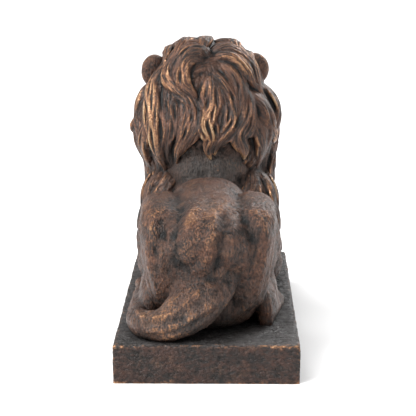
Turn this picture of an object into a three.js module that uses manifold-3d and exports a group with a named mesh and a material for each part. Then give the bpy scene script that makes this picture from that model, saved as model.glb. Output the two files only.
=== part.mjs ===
// A lying lion on a plinth, cast in one piece.
// Millimetres, +Z up. The lion faces -Y and its left side is +X.
// The origin is the centre of the plinth's underside.

import * as THREE from 'three';
import { mergeVertices } from 'three/addons/utils/BufferGeometryUtils.js';
import Module from 'manifold-3d';

// Driving sizes, in millimetres
const LION_HEIGHT = 302; // from the plinth's top to the crown of the head
const PLINTH_HEIGHT = 43;
const SIDE_BORDER = 7; // bare plinth beside the widest part of the lion
const FRONT_BORDER = 15; // bare plinth in front of the forepaws
const BACK_BORDER = 2; // bare plinth behind the tail
const EDGE_CHAMFER = 1.6; // worn edge round the plinth

// The carving is measured in hundredths of the lion's height.
const HUNDREDTH = LION_HEIGHT / 100;

const HEAD = { at: [3, -27, 80], yaw: 12, pitch: 9 }; // the head's centre and its turn, in degrees
const SIDES = [1, -1]; // the lion's left and right

const wasm = await Module();
wasm.setup();

const UP = new THREE.Vector3(0, 0, 1);
const FORWARD = new THREE.Vector3(0, -1, 0);
const ASIDE = new THREE.Vector3(1, 0, 0);
const radians = THREE.MathUtils.degToRad;
const vector = (triple) => new THREE.Vector3(...triple);
const mirrored = ([x, y, z], side) => [x * side, y, z];
const upwards = (x, y) => new THREE.Vector3(x, y, 1).normalize();

/** A closed geometry as a manifold-3d solid. */
function solid(geometry) {
  const bare = new THREE.BufferGeometry();
  bare.setAttribute('position', geometry.getAttribute('position'));
  bare.setIndex(geometry.getIndex());
  const merged = mergeVertices(bare, 1e-4);
  return new wasm.Manifold(new wasm.Mesh({
    numProp: 3,
    vertProperties: new Float32Array(merged.attributes.position.array),
    triVerts: new Uint32Array(merged.index.array),
  }));
}

/** The triangles of a mesh in groups that share no corner: its outer skin and the walls of sealed hollows. */
function skinsOf(corners, cornerCount) {
  const leader = Array.from({ length: cornerCount }, (_, i) => i);
  const find = (i) => {
    while (leader[i] !== i) i = leader[i] = leader[leader[i]];
    return i;
  };
  for (let i = 0; i < corners.length; i += 3) {
    leader[find(corners[i + 1])] = find(corners[i]);
    leader[find(corners[i + 2])] = find(corners[i]);
  }
  const skins = new Map();
  for (let i = 0; i < corners.length; i += 3) {
    const key = find(corners[i]);
    if (!skins.has(key)) skins.set(key, []);
    skins.get(key).push(corners[i], corners[i + 1], corners[i + 2]);
  }
  return [...skins.values()];
}

/** The solid turned back into a geometry with flat faces, with the small hollows between hairs filled. */
function geometryOf(manifold) {
  const mesh = manifold.getMesh();
  const skins = skinsOf(mesh.triVerts, mesh.vertProperties.length / 3);
  const outer = skins.reduce((largest, skinHere) => (skinHere.length > largest.length ? skinHere : largest));
  const geometry = new THREE.BufferGeometry();
  geometry.setAttribute('position', new THREE.BufferAttribute(mesh.vertProperties, 3));
  geometry.setIndex(outer);
  geometry.computeVertexNormals();
  return geometry;
}

/** How far a rounded shape reaches in a direction: 2 is round, and more fills out its corners. */
const reach = (square, ...direction) => direction
  .reduce((sum, share) => sum + Math.abs(share) ** square, 0) ** (-1 / square);

/**
 * A rounded mass of muscle or bone: its middle, half sizes, and turns about X, Y and Z in degrees.
 * It has as many faces around and over as are given, and a square above 2 fills out its corners.
 */
function mass(at, half, turn = [0, 0, 0], { around = 14, over = 9, square = 2 } = {}) {
  const geometry = new THREE.SphereGeometry(1, around, over);
  geometry.rotateX(Math.PI / 2);
  const ball = geometry.getAttribute('position');
  for (let i = 0; i < ball.count; i++) {
    const point = new THREE.Vector3().fromBufferAttribute(ball, i);
    ball.setXYZ(i, ...point.multiplyScalar(reach(square, ...point)));
  }
  geometry.scale(...half);
  geometry.applyQuaternion(new THREE.Quaternion().setFromEuler(
    new THREE.Euler(...turn.map(radians), 'ZYX')));
  geometry.translate(...at);
  return solid(geometry);
}

/** Rings of points joined into one closed skin, with a point at each end. */
function skin(rings, first, last) {
  const sides = rings[0].length;
  const points = [first, ...rings.flat(), last];
  const positions = points.flatMap((p) => [p.x, p.y, p.z]);
  const index = [];
  const end = points.length - 1;
  const at = (ring, side) => 1 + ring * sides + (side % sides);
  for (let side = 0; side < sides; side++) {
    index.push(0, at(0, side + 1), at(0, side));
    for (let ring = 0; ring + 1 < rings.length; ring++) {
      index.push(at(ring, side), at(ring, side + 1), at(ring + 1, side));
      index.push(at(ring, side + 1), at(ring + 1, side + 1), at(ring + 1, side));
    }
    index.push(end, at(rings.length - 1, side), at(rings.length - 1, side + 1));
  }
  const geometry = new THREE.BufferGeometry();
  geometry.setAttribute('position', new THREE.Float32BufferAttribute(positions, 3));
  geometry.setIndex(index);
  const made = solid(geometry);
  if (made.volume() > 0) return made;
  for (let i = 0; i < index.length; i += 3) index.splice(i, 3, index[i], index[i + 2], index[i + 1]);
  geometry.setIndex(index);
  return solid(geometry);
}

/**
 * A limb, trunk or tail, lofted through stations of [x, y, z, half width, half height].
 * A square above 2 fills out the section's corners.
 */
function limb(stations, { sides = 12, rings = 10, square = 2, up = UP } = {}) {
  const path = new THREE.CatmullRomCurve3(stations.map((s) => vector(s)), false, 'centripetal');
  const girth = new THREE.CatmullRomCurve3(
    stations.map((s) => new THREE.Vector3(s[3], s[4] ?? s[3], 0)), false, 'centripetal');
  const made = [];
  for (let i = 0; i <= rings; i++) {
    const t = i / rings;
    const centre = path.getPoint(t);
    const along = path.getTangent(t);
    const { x: wide, y: high } = girth.getPoint(t);
    const across = new THREE.Vector3().crossVectors(along, up).normalize();
    const rise = new THREE.Vector3().crossVectors(across, along).normalize();
    made.push(Array.from({ length: sides }, (_, k) => {
      const angle = (2 * Math.PI * k) / sides;
      const [c, s] = [Math.cos(angle), Math.sin(angle)];
      const swell = reach(square, c, s);
      return centre.clone().addScaledVector(across, wide * swell * c).addScaledVector(rise, high * swell * s);
    }));
  }
  const cap = (t, ring, outward) => {
    const { x: wide, y: high } = girth.getPoint(t);
    return path.getPoint(t).addScaledVector(path.getTangent(t), outward * 0.45 * Math.min(wide, high));
  };
  return skin(made, cap(0, 0, -1), cap(1, rings, 1));
}

/** Both of a pair: the same stations on the lion's left and right. */
const pairOfLimbs = (stations, { up = UP, ...options }) => SIDES.map((side) => limb(
  stations.map(([x, ...rest]) => [x * side, ...rest]), { ...options, up: vector(mirrored([...up], side)) }));

/** Both of a pair: the same mass on the lion's left and right. */
const pairOfMasses = (at, half, [a, b, c] = [0, 0, 0], options = {}) => SIDES.map((side) => mass(
  mirrored(at, side), half, [a, b * side, c * side], options));

/** Four toes in a row across the front of a paw, the middle two further forward. */
function toes([x, y, z], spread, half, side) {
  return [-1.5, -0.5, 0.5, 1.5].map((k) => {
    const forward = Math.abs(k) < 1 ? half[1] * 0.35 : 0;
    const at = [(x + k * spread) * side, y - forward, z];
    return mass(at, half, [0, 0, 0], { around: 6, over: 3 });
  });
}

/** Barrel, hips and rump, the bony ridge over the rump, and the root of the neck. */
function trunk() {
  return [
    limb([
      [0, 67, 22, 6.5, 8.5], [0, 66.2, 22.6, 12.5, 15], [0, 64.4, 23.4, 16.8, 19.4],
      [0, 59, 24.2, 19.6, 22.4], [0, 44, 24.2, 19.8, 24], [0, 26, 24.2, 17.2, 25.2],
      [0, 8, 24.4, 17.4, 24.6], [0, -8, 25.5, 19.5, 25], [0, -28, 26, 17, 24],
    ], { sides: 18, rings: 8, square: 2.6 }),
    mass([-1.5, 58, 30.5], [4.5, 10, 16.6], [0, 0, 0], { around: 8, over: 8 }),
    mass([0.5, -4, 44], [14.5, 15, 14], [0, 0, 0], { around: 12, over: 7 }),
  ];
}

/** Thigh with its knee, shank, heel and hind paw on both sides. */
function hindLegs() {
  return [
    ...pairOfLimbs([
      [16, 61.6, 25.4, 5.6, 15], [15.2, 56, 26.2, 8.8, 20], [14.9, 41, 26.3, 10, 21.4],
      [16, 29, 22.8, 9.2, 18.6], [18.2, 20, 17, 7.8, 13.4], [19.2, 13.6, 13, 5, 8],
    ], { sides: 12, rings: 7, square: 2.8, up: upwards(0.12, 0) }),
    ...pairOfLimbs([[19.6, 18, 8.4, 6.4, 8.4], [20.6, 32, 7, 5.6, 7], [20.6, 46, 6, 4, 6]],
      { sides: 8, rings: 2 }),
    ...pairOfLimbs([[20.4, 48.6, 12, 2.6, 2.6], [21.2, 48.4, 6, 3, 3.6], [21.4, 47, 0, 3, 4]],
      { sides: 6, rings: 2, up: FORWARD }),
    ...pairOfLimbs([[21.4, 47, 2.4, 3, 4.2], [23.2, 36, 2.8, 3.6, 4.2], [24.2, 22, 2.4, 4.6, 4.4]],
      { sides: 8, rings: 3 }),
    ...SIDES.flatMap((side) => toes([24.4, 20, 1.4], 2.3, [1.5, 3.4, 3.4], side)),
  ];
}

/** Shoulder, elbow, forearm and forepaw on both sides. */
function forelegs() {
  return [
    ...pairOfMasses([16, -9, 27], [10, 14.5, 20.5], [0, 0, 0], { around: 10, over: 7, square: 2.2 }),
    ...pairOfLimbs([
      [18.5, -2, 22, 8.6, 12], [21, -10, 15, 8.2, 11], [22.8, -18, 8.4, 6.8, 8.4], [23.6, -24, 6, 5.6, 6.6],
    ], { sides: 8, rings: 3 }),
    ...pairOfLimbs([
      [23.4, -18, 5.4, 5.4, 6], [23.2, -27, 5.6, 6.2, 7.2], [21.4, -42, 5.2, 6, 6.6],
      [19.4, -54, 4.6, 5.6, 5.8], [18.4, -61, 4, 7, 6.2], [18, -67.6, 3.2, 7, 5],
    ], { sides: 8, rings: 6 }),
    ...SIDES.flatMap((side) => toes([18, -68.4, 2.4], 3.5, [2.2, 4, 4.8], side)),
  ];
}

/** The tail grows out of the rump, bends round on the plinth and lies along the left flank to its tuft. */
function tail() {
  return [
    limb([
      [0, 56, 27, 9, 7], [1, 61.6, 19, 10, 7.4], [4, 66.6, 12.4, 8.6, 7.6], [9, 70, 7.8, 7, 7.3],
      [15, 71.2, 5.2, 5.8, 6.2], [21, 67.8, 4, 5, 5.4], [25, 60, 3.6, 4.5, 5], [26, 48, 3.1, 3.9, 4.2],
      [26.4, 30, 2.6, 3.2, 3.5], [26.6, 12, 2.2, 2.7, 2.9], [26.8, -2, 2, 2.4, 2.6],
    ], { sides: 8, rings: 16, up: upwards(0.2, 0.3) }),
    limb([
      [26.6, 4, 2, 2.4, 2.6], [27, -4, 2.6, 3.6, 3.8], [27.2, -10, 2.6, 3, 3.2], [27, -15, 2, 1.2, 1.6],
    ], { sides: 8, rings: 4 }),
  ];
}

/** Turns a shape from the head's own frame, face towards -Y, to its place on the neck. */
function place(solidInHeadFrame) {
  return solidInHeadFrame
    .rotate([HEAD.pitch, 0, 0])
    .rotate([0, 0, HEAD.yaw])
    .translate(HEAD.at);
}

/** Skull, forehead, cheeks, muzzle, jaw, nose, brows and eyes. */
function face() {
  return [
    mass([0, 0, 0.5], [13.4, 13, 12.5], [0, 0, 0], { around: 10, over: 6 }),
    mass([0, -7.4, 5], [10, 8.4, 7.2], [0, 0, 0], { around: 12, over: 7, square: 2.5 }),
    ...pairOfMasses([8.8, -8.4, -2.4], [5.8, 7, 8], [0, 0, 0], { around: 8, over: 5 }),
    limb([[0, -8, -4.2, 9, 9], [0, -15, -5, 7.8, 8], [0, -21, -5.8, 7.2, 7.2], [0, -24.6, -6, 6, 6]],
      { sides: 12, rings: 4, square: 2.8 }),
    ...pairOfMasses([4.2, -21.8, -8], [4.6, 5.2, 4.8], [0, 0, -12], { around: 8, over: 6 }),
    limb([[0, -3, -11, 10, 6.5], [0, -13, -13.4, 7.4, 5.6], [0, -22, -13.6, 5.4, 5.2]],
      { sides: 10, rings: 3, square: 2.4 }),
    limb([
      [0, -6, 9.6, 6.4, 4], [0, -13, 5.6, 4.9, 3.6], [0, -19.5, 2.2, 4.3, 3.4], [0, -25.4, -0.8, 4.3, 2.6],
    ], { sides: 8, rings: 4, square: 3 }),
    mass([0, -26, -2.6], [4.6, 2.3, 3], [14, 0, 0], { around: 8, over: 6 }),
    ...pairOfMasses([6.4, -13.4, 6.9], [4.8, 3.2, 2.2], [0, -14, -14], { around: 8, over: 4 }),
    ...pairOfMasses([6.4, -14.4, 3.6], [2.5, 2, 1.7], [0, 0, 0], { around: 6, over: 4 }),
  ].map(place);
}

/** Round ears, cupped towards the front. */
function ears() {
  return SIDES.flatMap((side) => {
    const lean = [-8, 16 * side, 22 * side];
    const shell = mass([20.4 * side, 5, 6.4], [5.5, 3.2, 6.8], lean, { around: 10, over: 6 });
    const cup = mass([20.9 * side, 1.6, 6.6], [3.6, 3, 4.6], lean, { around: 8, over: 5 });
    return place(shell.subtract(cup));
  });
}

// The mane grows on these rounded masses: middle and half sizes.
const MANE_MASSES = [
  { at: [1.5, -20, 80.4], half: [19.5, 20.5, 18.2] },
  { at: [1, -18, 65], half: [26.4, 20.5, 23.4] },
  { at: [0.5, -8, 60], half: [21, 13.5, 15] },
  { at: [0, -21, 45], half: [24.4, 17, 25] },
  { at: [0.5, -31, 31], half: [16.5, 15, 23] },
];
const MANE_BLEND = 1.7;
const MANE_CENTRE = vector([1, -18, 60]);
const WHORL = vector([-1, -2, 93]); // where the hair parts, at the back of the crown
const FACE_CENTRE = vector(HEAD.at).add(new THREE.Vector3(0, -12, -3).applyAxisAngle(UP, radians(HEAD.yaw)));
const FACE_RADIUS = 17;

/** How far a point is outside the mane's body, roughly, with the masses blended. */
function maneDistance(p) {
  let sum = 0;
  for (const { at, half } of MANE_MASSES) {
    const [x, y, z] = [p.x - at[0], p.y - at[1], p.z - at[2]];
    const k0 = Math.hypot(x / half[0], y / half[1], z / half[2]);
    const k1 = Math.hypot(x / half[0] ** 2, y / half[1] ** 2, z / half[2] ** 2);
    sum += Math.exp(-(k0 * (k0 - 1)) / Math.max(k1, 1e-9) / MANE_BLEND);
  }
  return -Math.log(sum) * MANE_BLEND;
}

/** The mane's outward direction at a point. */
function maneNormal(p) {
  const step = 0.2;
  const slope = (axis) => maneDistance(p.clone().addScaledVector(axis, step))
    - maneDistance(p.clone().addScaledVector(axis, -step));
  return new THREE.Vector3(slope(ASIDE), -slope(FORWARD), slope(UP)).normalize();
}

/** The point moved onto the mane's body. */
function ontoMane(p) {
  const moved = p.clone();
  for (let i = 0; i < 4; i++) moved.addScaledVector(maneNormal(moved), -maneDistance(moved));
  return moved;
}

/** The way hair lies: down, away from the whorl at the crown, and away from the face. */
function lieOfHair(p, normal) {
  const fromFace = p.clone().sub(FACE_CENTRE);
  const nearFace = Math.exp(-((fromFace.length() / 22) ** 2));
  const fromWhorl = p.clone().sub(WHORL);
  const nearWhorl = Math.exp(-((fromWhorl.length() / 22) ** 2));
  const lie = new THREE.Vector3(0, 0, -1)
    .addScaledVector(fromFace.setZ(fromFace.z * 0.5).normalize(), 3 * nearFace)
    .addScaledVector(fromWhorl.normalize(), 4 * nearWhorl);
  return lie.addScaledVector(normal, -lie.dot(normal)).normalize();
}

/** A repeatable share from 0 to 1 for a lock's variation. */
function chance(seed) {
  const s = Math.sin(seed * 12.9898 + 4.1414) * 43758.5453;
  return s - Math.floor(s);
}

/** The line of one lock: it starts under the hair, sways as it lies, and lifts over the locks below it. */
function lineOfLock({ root, length, sway, phase, lift }, steps) {
  const line = [];
  let p = ontoMane(root);
  for (let i = 0; i <= steps; i++) {
    const t = i / steps;
    const normal = maneNormal(p);
    const above = lift * t - ROOT_SINK * (1 - t) ** 2;
    line.push({ p: p.clone().addScaledVector(normal, above), normal, t });
    const turn = sway * Math.sin(phase + t * 1.6 * Math.PI);
    const lie = lieOfHair(p, normal).applyAxisAngle(normal, turn);
    p = ontoMane(p.addScaledVector(lie, length / steps));
  }
  return line;
}

/** One lock: a ridged strand, full in the middle, that ends in a point. */
function lock(seed) {
  const line = lineOfLock(seed, LOCK_STEPS);
  const rings = line.slice(0, -1).map(({ p, normal, t }, i) => {
    const along = line[i + 1].p.clone().sub(line[Math.max(0, i - 1)].p).normalize();
    const across = new THREE.Vector3().crossVectors(along, normal).normalize();
    const full = Math.sin(Math.PI * (0.08 + 0.92 * t) ** 0.8) ** 0.8;
    return LOCK_SECTION.map(([aside, out]) => p.clone()
      .addScaledVector(across, seed.wide * full * aside)
      .addScaledVector(normal, seed.thick * full * out));
  });
  const start = line[0].p.clone().addScaledVector(line[0].normal, -seed.thick);
  return skin(rings, start, line[line.length - 1].p);
}

const LOCK_STEPS = 5;
const LOCK_THICKNESS = 3.4;
const ROOT_SINK = 1.6; // how far a lock's root lies under the hair round it
// A lock's section, as shares of its half width and its thickness
const LOCK_SECTION = [[1, -0.25], [0.15, 1], [-1, -0.25], [0, -1]];

// Rows of locks, in degrees from the whorl: the number in a full row, their length and their half width.
const LOCK_ROWS = [
  { fromWhorl: 6, count: 6, length: 30, wide: 4 },
  { fromWhorl: 26, count: 9, length: 42, wide: 4.2 },
  { fromWhorl: 54, count: 11, length: 42, wide: 4.4 },
  { fromWhorl: 88, count: 12, length: 40, wide: 4.4 },
  { fromWhorl: 122, count: 11, length: 32, wide: 4.2 },
  { fromWhorl: 148, count: 7, length: 24, wide: 4.2 },
];

/** Whether hair grows at a point: not on the face, and not over the withers. */
function hairy(p) {
  const onFace = p.distanceTo(FACE_CENTRE) < FACE_RADIUS;
  const onWithers = p.y > -14 && p.z < 44;
  return !onFace && !onWithers;
}

/** The root and shape of one lock, from its row and its number in the row. */
function lockSeed({ fromWhorl, count, length, wide }, row, k) {
  const n = row * 31 + k;
  const axis = WHORL.clone().sub(MANE_CENTRE).normalize();
  const tilt = radians(fromWhorl + 8 * (chance(n + 0.5) - 0.5));
  const round = (2 * Math.PI * (k + 0.5 * (row % 2) + 0.4 * (chance(n) - 0.5))) / count;
  const away = axis.clone().applyAxisAngle(ASIDE, tilt).applyAxisAngle(axis, round);
  return {
    root: ontoMane(MANE_CENTRE.clone().addScaledVector(away, 34)),
    length: length * (0.85 + 0.3 * chance(n + 0.25)),
    wide: wide * (0.85 + 0.3 * chance(n + 0.75)),
    thick: LOCK_THICKNESS,
    sway: 0.2 + 0.3 * chance(n + 0.1),
    phase: 2 * Math.PI * chance(n + 0.9),
    lift: 1.2 + 1.2 * chance(n + 0.6),
  };
}

/** The root and shape of every lock of the mane. */
function lockSeeds() {
  return LOCK_ROWS
    .flatMap((row, r) => Array.from({ length: row.count }, (_, k) => lockSeed(row, r, k)))
    .filter(({ root }) => hairy(root));
}

/** The mane's body and its locks. */
function mane() {
  return [
    ...MANE_MASSES.map(({ at, half }) => mass(at, half, [0, 0, 0], { around: 10, over: 7 })),
    ...lockSeeds().map(lock),
  ];
}

/** The block that the lion lies on, with worn edges and its top at z = 0. */
function plinth(width, length) {
  const [w, l, c] = [width / 2, length / 2, EDGE_CHAMFER];
  const outline = new THREE.Shape([
    [-w + c, -l], [w - c, -l], [w, -l + c], [w, l - c], [w - c, l], [-w + c, l], [-w, l - c], [-w, -l + c],
  ].map(([x, y]) => new THREE.Vector2(x, y)));
  const block = new THREE.ExtrudeGeometry(outline, {
    depth: PLINTH_HEIGHT - 2 * c,
    bevelEnabled: true,
    bevelThickness: c,
    bevelSize: c,
    bevelOffset: -c,
    bevelSegments: 1,
  });
  return solid(block.translate(0, 0, c - PLINTH_HEIGHT));
}

/** The lion by itself, lying on z = 0. */
function lion() {
  const parts = [...trunk(), ...hindLegs(), ...forelegs(), ...tail(), ...face(), ...ears(), ...mane()];
  return wasm.Manifold.union(parts).scale(HUNDREDTH);
}

/** The lion cast in one with its plinth, which is cut to fit it and centred on the origin. */
function statueSolid() {
  const figure = lion();
  const { min: low, max: high } = figure.boundingBox();
  const width = 2 * (Math.max(-low[0], high[0]) + SIDE_BORDER);
  const [front, back] = [low[1] - FRONT_BORDER, high[1] + BACK_BORDER];
  return figure
    .translate([0, -(front + back) / 2, 0])
    .add(plinth(width, back - front))
    .translate([0, 0, PLINTH_HEIGHT]);
}

const bronze = new THREE.MeshStandardMaterial({ color: 0x5a463c, roughness: 0.5, metalness: 0.4 });
const statue = new THREE.Mesh(geometryOf(statueSolid()), bronze);
statue.name = 'lion_statue';

const part = new THREE.Group();
part.add(statue);

export default part;
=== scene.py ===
"""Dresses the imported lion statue: its carved form in fine relief, and its aged bronze finish.

The lion is carved in hundredths of its own height, measured from the plinth's top, as its solid is.
It faces -Y, and its left side is +X. Everything that leaves this file is in metres.
"""

import logging
import math
from dataclasses import dataclass, field
from enum import Enum
from itertools import product
from typing import Iterable, Sequence

import bpy
import numpy as np
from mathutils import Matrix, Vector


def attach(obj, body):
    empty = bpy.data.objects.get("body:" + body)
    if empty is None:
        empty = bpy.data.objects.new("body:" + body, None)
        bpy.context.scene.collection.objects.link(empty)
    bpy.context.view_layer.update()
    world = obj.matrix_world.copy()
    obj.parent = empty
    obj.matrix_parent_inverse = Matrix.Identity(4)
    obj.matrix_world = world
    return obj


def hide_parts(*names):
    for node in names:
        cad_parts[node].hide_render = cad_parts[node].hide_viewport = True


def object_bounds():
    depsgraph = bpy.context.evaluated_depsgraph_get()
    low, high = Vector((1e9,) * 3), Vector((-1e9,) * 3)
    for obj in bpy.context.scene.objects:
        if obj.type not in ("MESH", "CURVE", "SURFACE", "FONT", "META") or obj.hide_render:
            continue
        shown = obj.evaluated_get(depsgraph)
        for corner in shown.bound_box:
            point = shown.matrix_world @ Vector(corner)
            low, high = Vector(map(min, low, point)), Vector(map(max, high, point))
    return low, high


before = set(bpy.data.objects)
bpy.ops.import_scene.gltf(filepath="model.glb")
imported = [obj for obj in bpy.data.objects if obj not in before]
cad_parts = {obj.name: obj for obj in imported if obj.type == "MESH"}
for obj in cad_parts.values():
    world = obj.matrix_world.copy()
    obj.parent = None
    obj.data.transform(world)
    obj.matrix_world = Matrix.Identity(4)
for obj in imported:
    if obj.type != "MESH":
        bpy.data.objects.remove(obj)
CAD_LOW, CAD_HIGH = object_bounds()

import openvdb
from mathutils import Vector, kdtree

Array = np.ndarray
Triple = tuple[float, float, float]

log = logging.getLogger("lion_statue")

PLINTH_HEIGHT = 0.043
LION_HEIGHT = 0.302
HUNDREDTH = LION_HEIGHT / 100
STATUE_NODE = "lion_statue"

UP = np.array([0.0, 0.0, 1.0])
FORWARD = np.array([0.0, -1.0, 0.0])
ASIDE = np.array([1.0, 0.0, 0.0])


class Detail(Enum):
    """How finely the blocks are cut: the sides of a coarse and of a fine cell, in hundredths."""

    WORKING = (0.75, 0.55)
    FINISHED = (0.42, 0.31)


COARSE, FINE = Detail.FINISHED.value


# Vectors and noise


def unit(v: Array) -> Array:
    """Vectors at length one.

    Args:
        v: One vector or many, along the last axis.

    Returns:
        The same directions, each of length one.
    """
    return v / np.maximum(np.linalg.norm(v, axis=-1, keepdims=True), 1e-9)


def turned(v: Array, axis: Array, angle: Array) -> Array:
    """Vectors turned about axes of length one.

    Args:
        v: The vectors.
        axis: An axis for each.
        angle: An angle for each, in radians.

    Returns:
        The turned vectors.
    """
    c = np.cos(angle)[..., None]
    s = np.sin(angle)[..., None]
    along = (v * axis).sum(-1, keepdims=True)
    return v * c + np.cross(axis, v) * s + axis * along * (1 - c)


def chance(seed: Array) -> Array:
    """A repeatable share from 0 to 1 for each seed."""
    s = np.sin(np.asarray(seed, float) * 12.9898 + 4.1414) * 43758.5453
    return s - np.floor(s)


def spline(points: Array, shares: Array) -> Array:
    """Places along a smooth curve through points, spaced so that it doesn't overshoot.

    Args:
        points: The points that the curve passes through.
        shares: How far along each place is, from 0 to 1.

    Returns:
        One point for each share.
    """
    last = len(points) - 1
    ends = np.vstack([2 * points[0] - points[1], points, 2 * points[-1] - points[-2]])
    at = np.clip(shares, 0, 1) * last
    i = np.minimum(at.astype(int), last - 1)
    w = (at - i)[:, None]
    before, start, end, after = (ends[i + k] for k in range(4))
    spans = (start - before, end - start, after - end)
    gap_in, gap, gap_out = (np.linalg.norm(span, axis=1, keepdims=True) ** 0.5 for span in spans)
    gap = np.where(gap < 1e-2, 1.0, gap)
    gap_in = np.where(gap_in < 1e-2, gap, gap_in)
    gap_out = np.where(gap_out < 1e-2, gap, gap_out)
    leave = ((start - before) / gap_in - (end - before) / (gap_in + gap) + (end - start) / gap) * gap
    arrive = ((end - start) / gap - (after - start) / (gap + gap_out) + (after - end) / gap_out) * gap
    square = -3 * start + 3 * end - 2 * leave - arrive
    cube = 2 * start - 2 * end + leave + arrive
    return start + w * (leave + w * (square + w * cube))


def directions(count: int, start: float = 0.0) -> tuple[Array, Array]:
    """Directions spread evenly over a ball, from the top down.

    Args:
        count: How many.
        start: A turn for all of them about Z, in radians.

    Returns:
        The number of each, halfway between whole ones, and the directions.
    """
    k = np.arange(count) + 0.5
    high = 1 - 2 * k / count
    around = np.pi * (1 + math.sqrt(5)) * k + start
    level = np.sqrt(1 - high**2)
    return k, np.stack([level * np.cos(around), level * np.sin(around), high], 1)


def mixed(at: Array, share: Array, values: Array) -> Array:
    """A grid's values between its cells.

    Args:
        at: The cell below each place.
        share: How far each place is towards the next cell, along each axis.
        values: The grid, which starts again past its end.

    Returns:
        One value for each place.
    """
    total = np.zeros(len(at))
    for corner in product((0, 1), repeat=3):
        weight = np.where(corner, share, 1 - share).prod(1)
        total += weight * values[tuple(((at + corner) % values.shape).T)]
    return total


def tree_of(points: Array) -> kdtree.KDTree:
    """A tree that finds the nearest of many points.

    Args:
        points: The points.

    Returns:
        The balanced tree.
    """
    tree = kdtree.KDTree(len(points))
    for i, p in enumerate(points):
        tree.insert(p, i)
    tree.balance()
    return tree


# Closed skins of triangles


def halved(quads: Array) -> Array:
    """Each quad as two triangles."""
    return np.vstack([quads[:, [0, 1, 2]], quads[:, [0, 2, 3]]])


@dataclass
class Shell:
    """A closed skin of triangles, in hundredths."""

    points: Array
    triangles: Array

    def mirrored(self) -> "Shell":
        """The same shell on the lion's other side."""
        return Shell(self.points * (-1, 1, 1), self.triangles[:, ::-1])


def joined(shells: Iterable[Shell]) -> Shell:
    """Several shells as one.

    Args:
        shells: The shells, which may pass through each other.

    Returns:
        One shell.
    """
    points, triangles, used = [], [], 0
    for shell in shells:
        points.append(shell.points)
        triangles.append(shell.triangles + used)
        used += len(shell.points)
    return Shell(np.vstack(points), np.vstack(triangles))


def both(shell: Shell) -> list[Shell]:
    """A shell on the lion's left and the same on its right."""
    return [shell, shell.mirrored()]


def tubes(rings: Array, tips: Array) -> Shell:
    """Closed tubes from rings of points.

    Args:
        rings: Points as tube, ring, side and X, Y, Z.
        tips: The two end points of each tube.

    Returns:
        All the tubes as one shell.
    """
    count, length, sides, _ = rings.shape
    each = length * sides + 2
    points = np.concatenate([rings.reshape(count, -1, 3), tips], axis=1).reshape(-1, 3)
    side = np.arange(sides)
    following = (side + 1) % sides
    faces = []
    for ring in range(length - 1):
        here, there = ring * sides, (ring + 1) * sides
        faces.append(np.stack([here + side, here + following, there + side], 1))
        faces.append(np.stack([here + following, there + following, there + side], 1))
    start, end = length * sides, length * sides + 1
    last = (length - 1) * sides
    faces.append(np.stack([np.full(sides, start), following, side], 1))
    faces.append(np.stack([np.full(sides, end), last + side, last + following], 1))
    one = np.vstack(faces)
    triangles = (one[None] + (np.arange(count) * each)[:, None, None]).reshape(-1, 3)
    return Shell(points, triangles)


def swell(square: float, *shares: Array) -> Array:
    """How far a rounded shape reaches in a direction: 2 is round, and more fills out its corners."""
    return sum(np.abs(share) ** square for share in shares) ** (-1 / square)


def limb(
    stations: Sequence[Sequence[float]], square: float = 2.0, up: Array = UP, sides: int = 40, rings: int = 48
) -> Shell:
    """A limb, trunk or tail, lofted through stations, with rounded ends.

    Args:
        stations: X, Y, Z, half width and half height of each.
        square: Above 2 fills out the section's corners.
        up: The direction that the height is measured in, roughly.
        sides: Points round each ring.
        rings: Rings along it.

    Returns:
        The limb.
    """
    table = np.array(stations, float)
    share = np.linspace(0, 1, rings)
    centre = spline(table[:, :3], share)
    girth = spline(table[:, 3:5], share)
    step = 1e-3
    along = unit(spline(table[:, :3], share + step) - spline(table[:, :3], share - step))
    across = unit(np.cross(along, up))
    rise = unit(np.cross(across, along))
    blunt = 0.45 * girth.min(1)
    # The end rings close in a quarter turn, as a rounded cap
    turns = np.linspace(0, np.pi / 2, 6)[1:-1]
    rows = [(0, -np.sin(a) * blunt[0], np.cos(a)) for a in turns[::-1]]
    rows += [(i, 0.0, 1.0) for i in range(rings)]
    rows += [(rings - 1, np.sin(a) * blunt[-1], np.cos(a)) for a in turns]
    index, push, share_left = (np.array(column) for column in zip(*rows))
    middle = centre[index] + along[index] * push[:, None]
    wide, high = (girth[index] * share_left[:, None]).T
    angle = np.linspace(0, 2 * np.pi, sides, endpoint=False)
    c, s = np.cos(angle), np.sin(angle)
    out = swell(square, c, s)
    ring = (
        middle[:, None]
        + across[index][:, None] * (wide[:, None] * out * c)[..., None]
        + rise[index][:, None] * (high[:, None] * out * s)[..., None]
    )
    tips = np.stack([centre[0] - along[0] * blunt[0], centre[-1] + along[-1] * blunt[-1]])
    return tubes(ring[None], tips[None])


def turning(turn: Triple) -> Array:
    """The matrix that turns about X, then Y, then Z, by angles in degrees.

    Args:
        turn: The three angles, in degrees.

    Returns:
        A 3 by 3 matrix.
    """
    a, b, c = np.radians(turn)
    x = np.array([[1, 0, 0], [0, math.cos(a), -math.sin(a)], [0, math.sin(a), math.cos(a)]])
    y = np.array([[math.cos(b), 0, math.sin(b)], [0, 1, 0], [-math.sin(b), 0, math.cos(b)]])
    z = np.array([[math.cos(c), -math.sin(c), 0], [math.sin(c), math.cos(c), 0], [0, 0, 1]])
    return z @ y @ x


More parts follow.
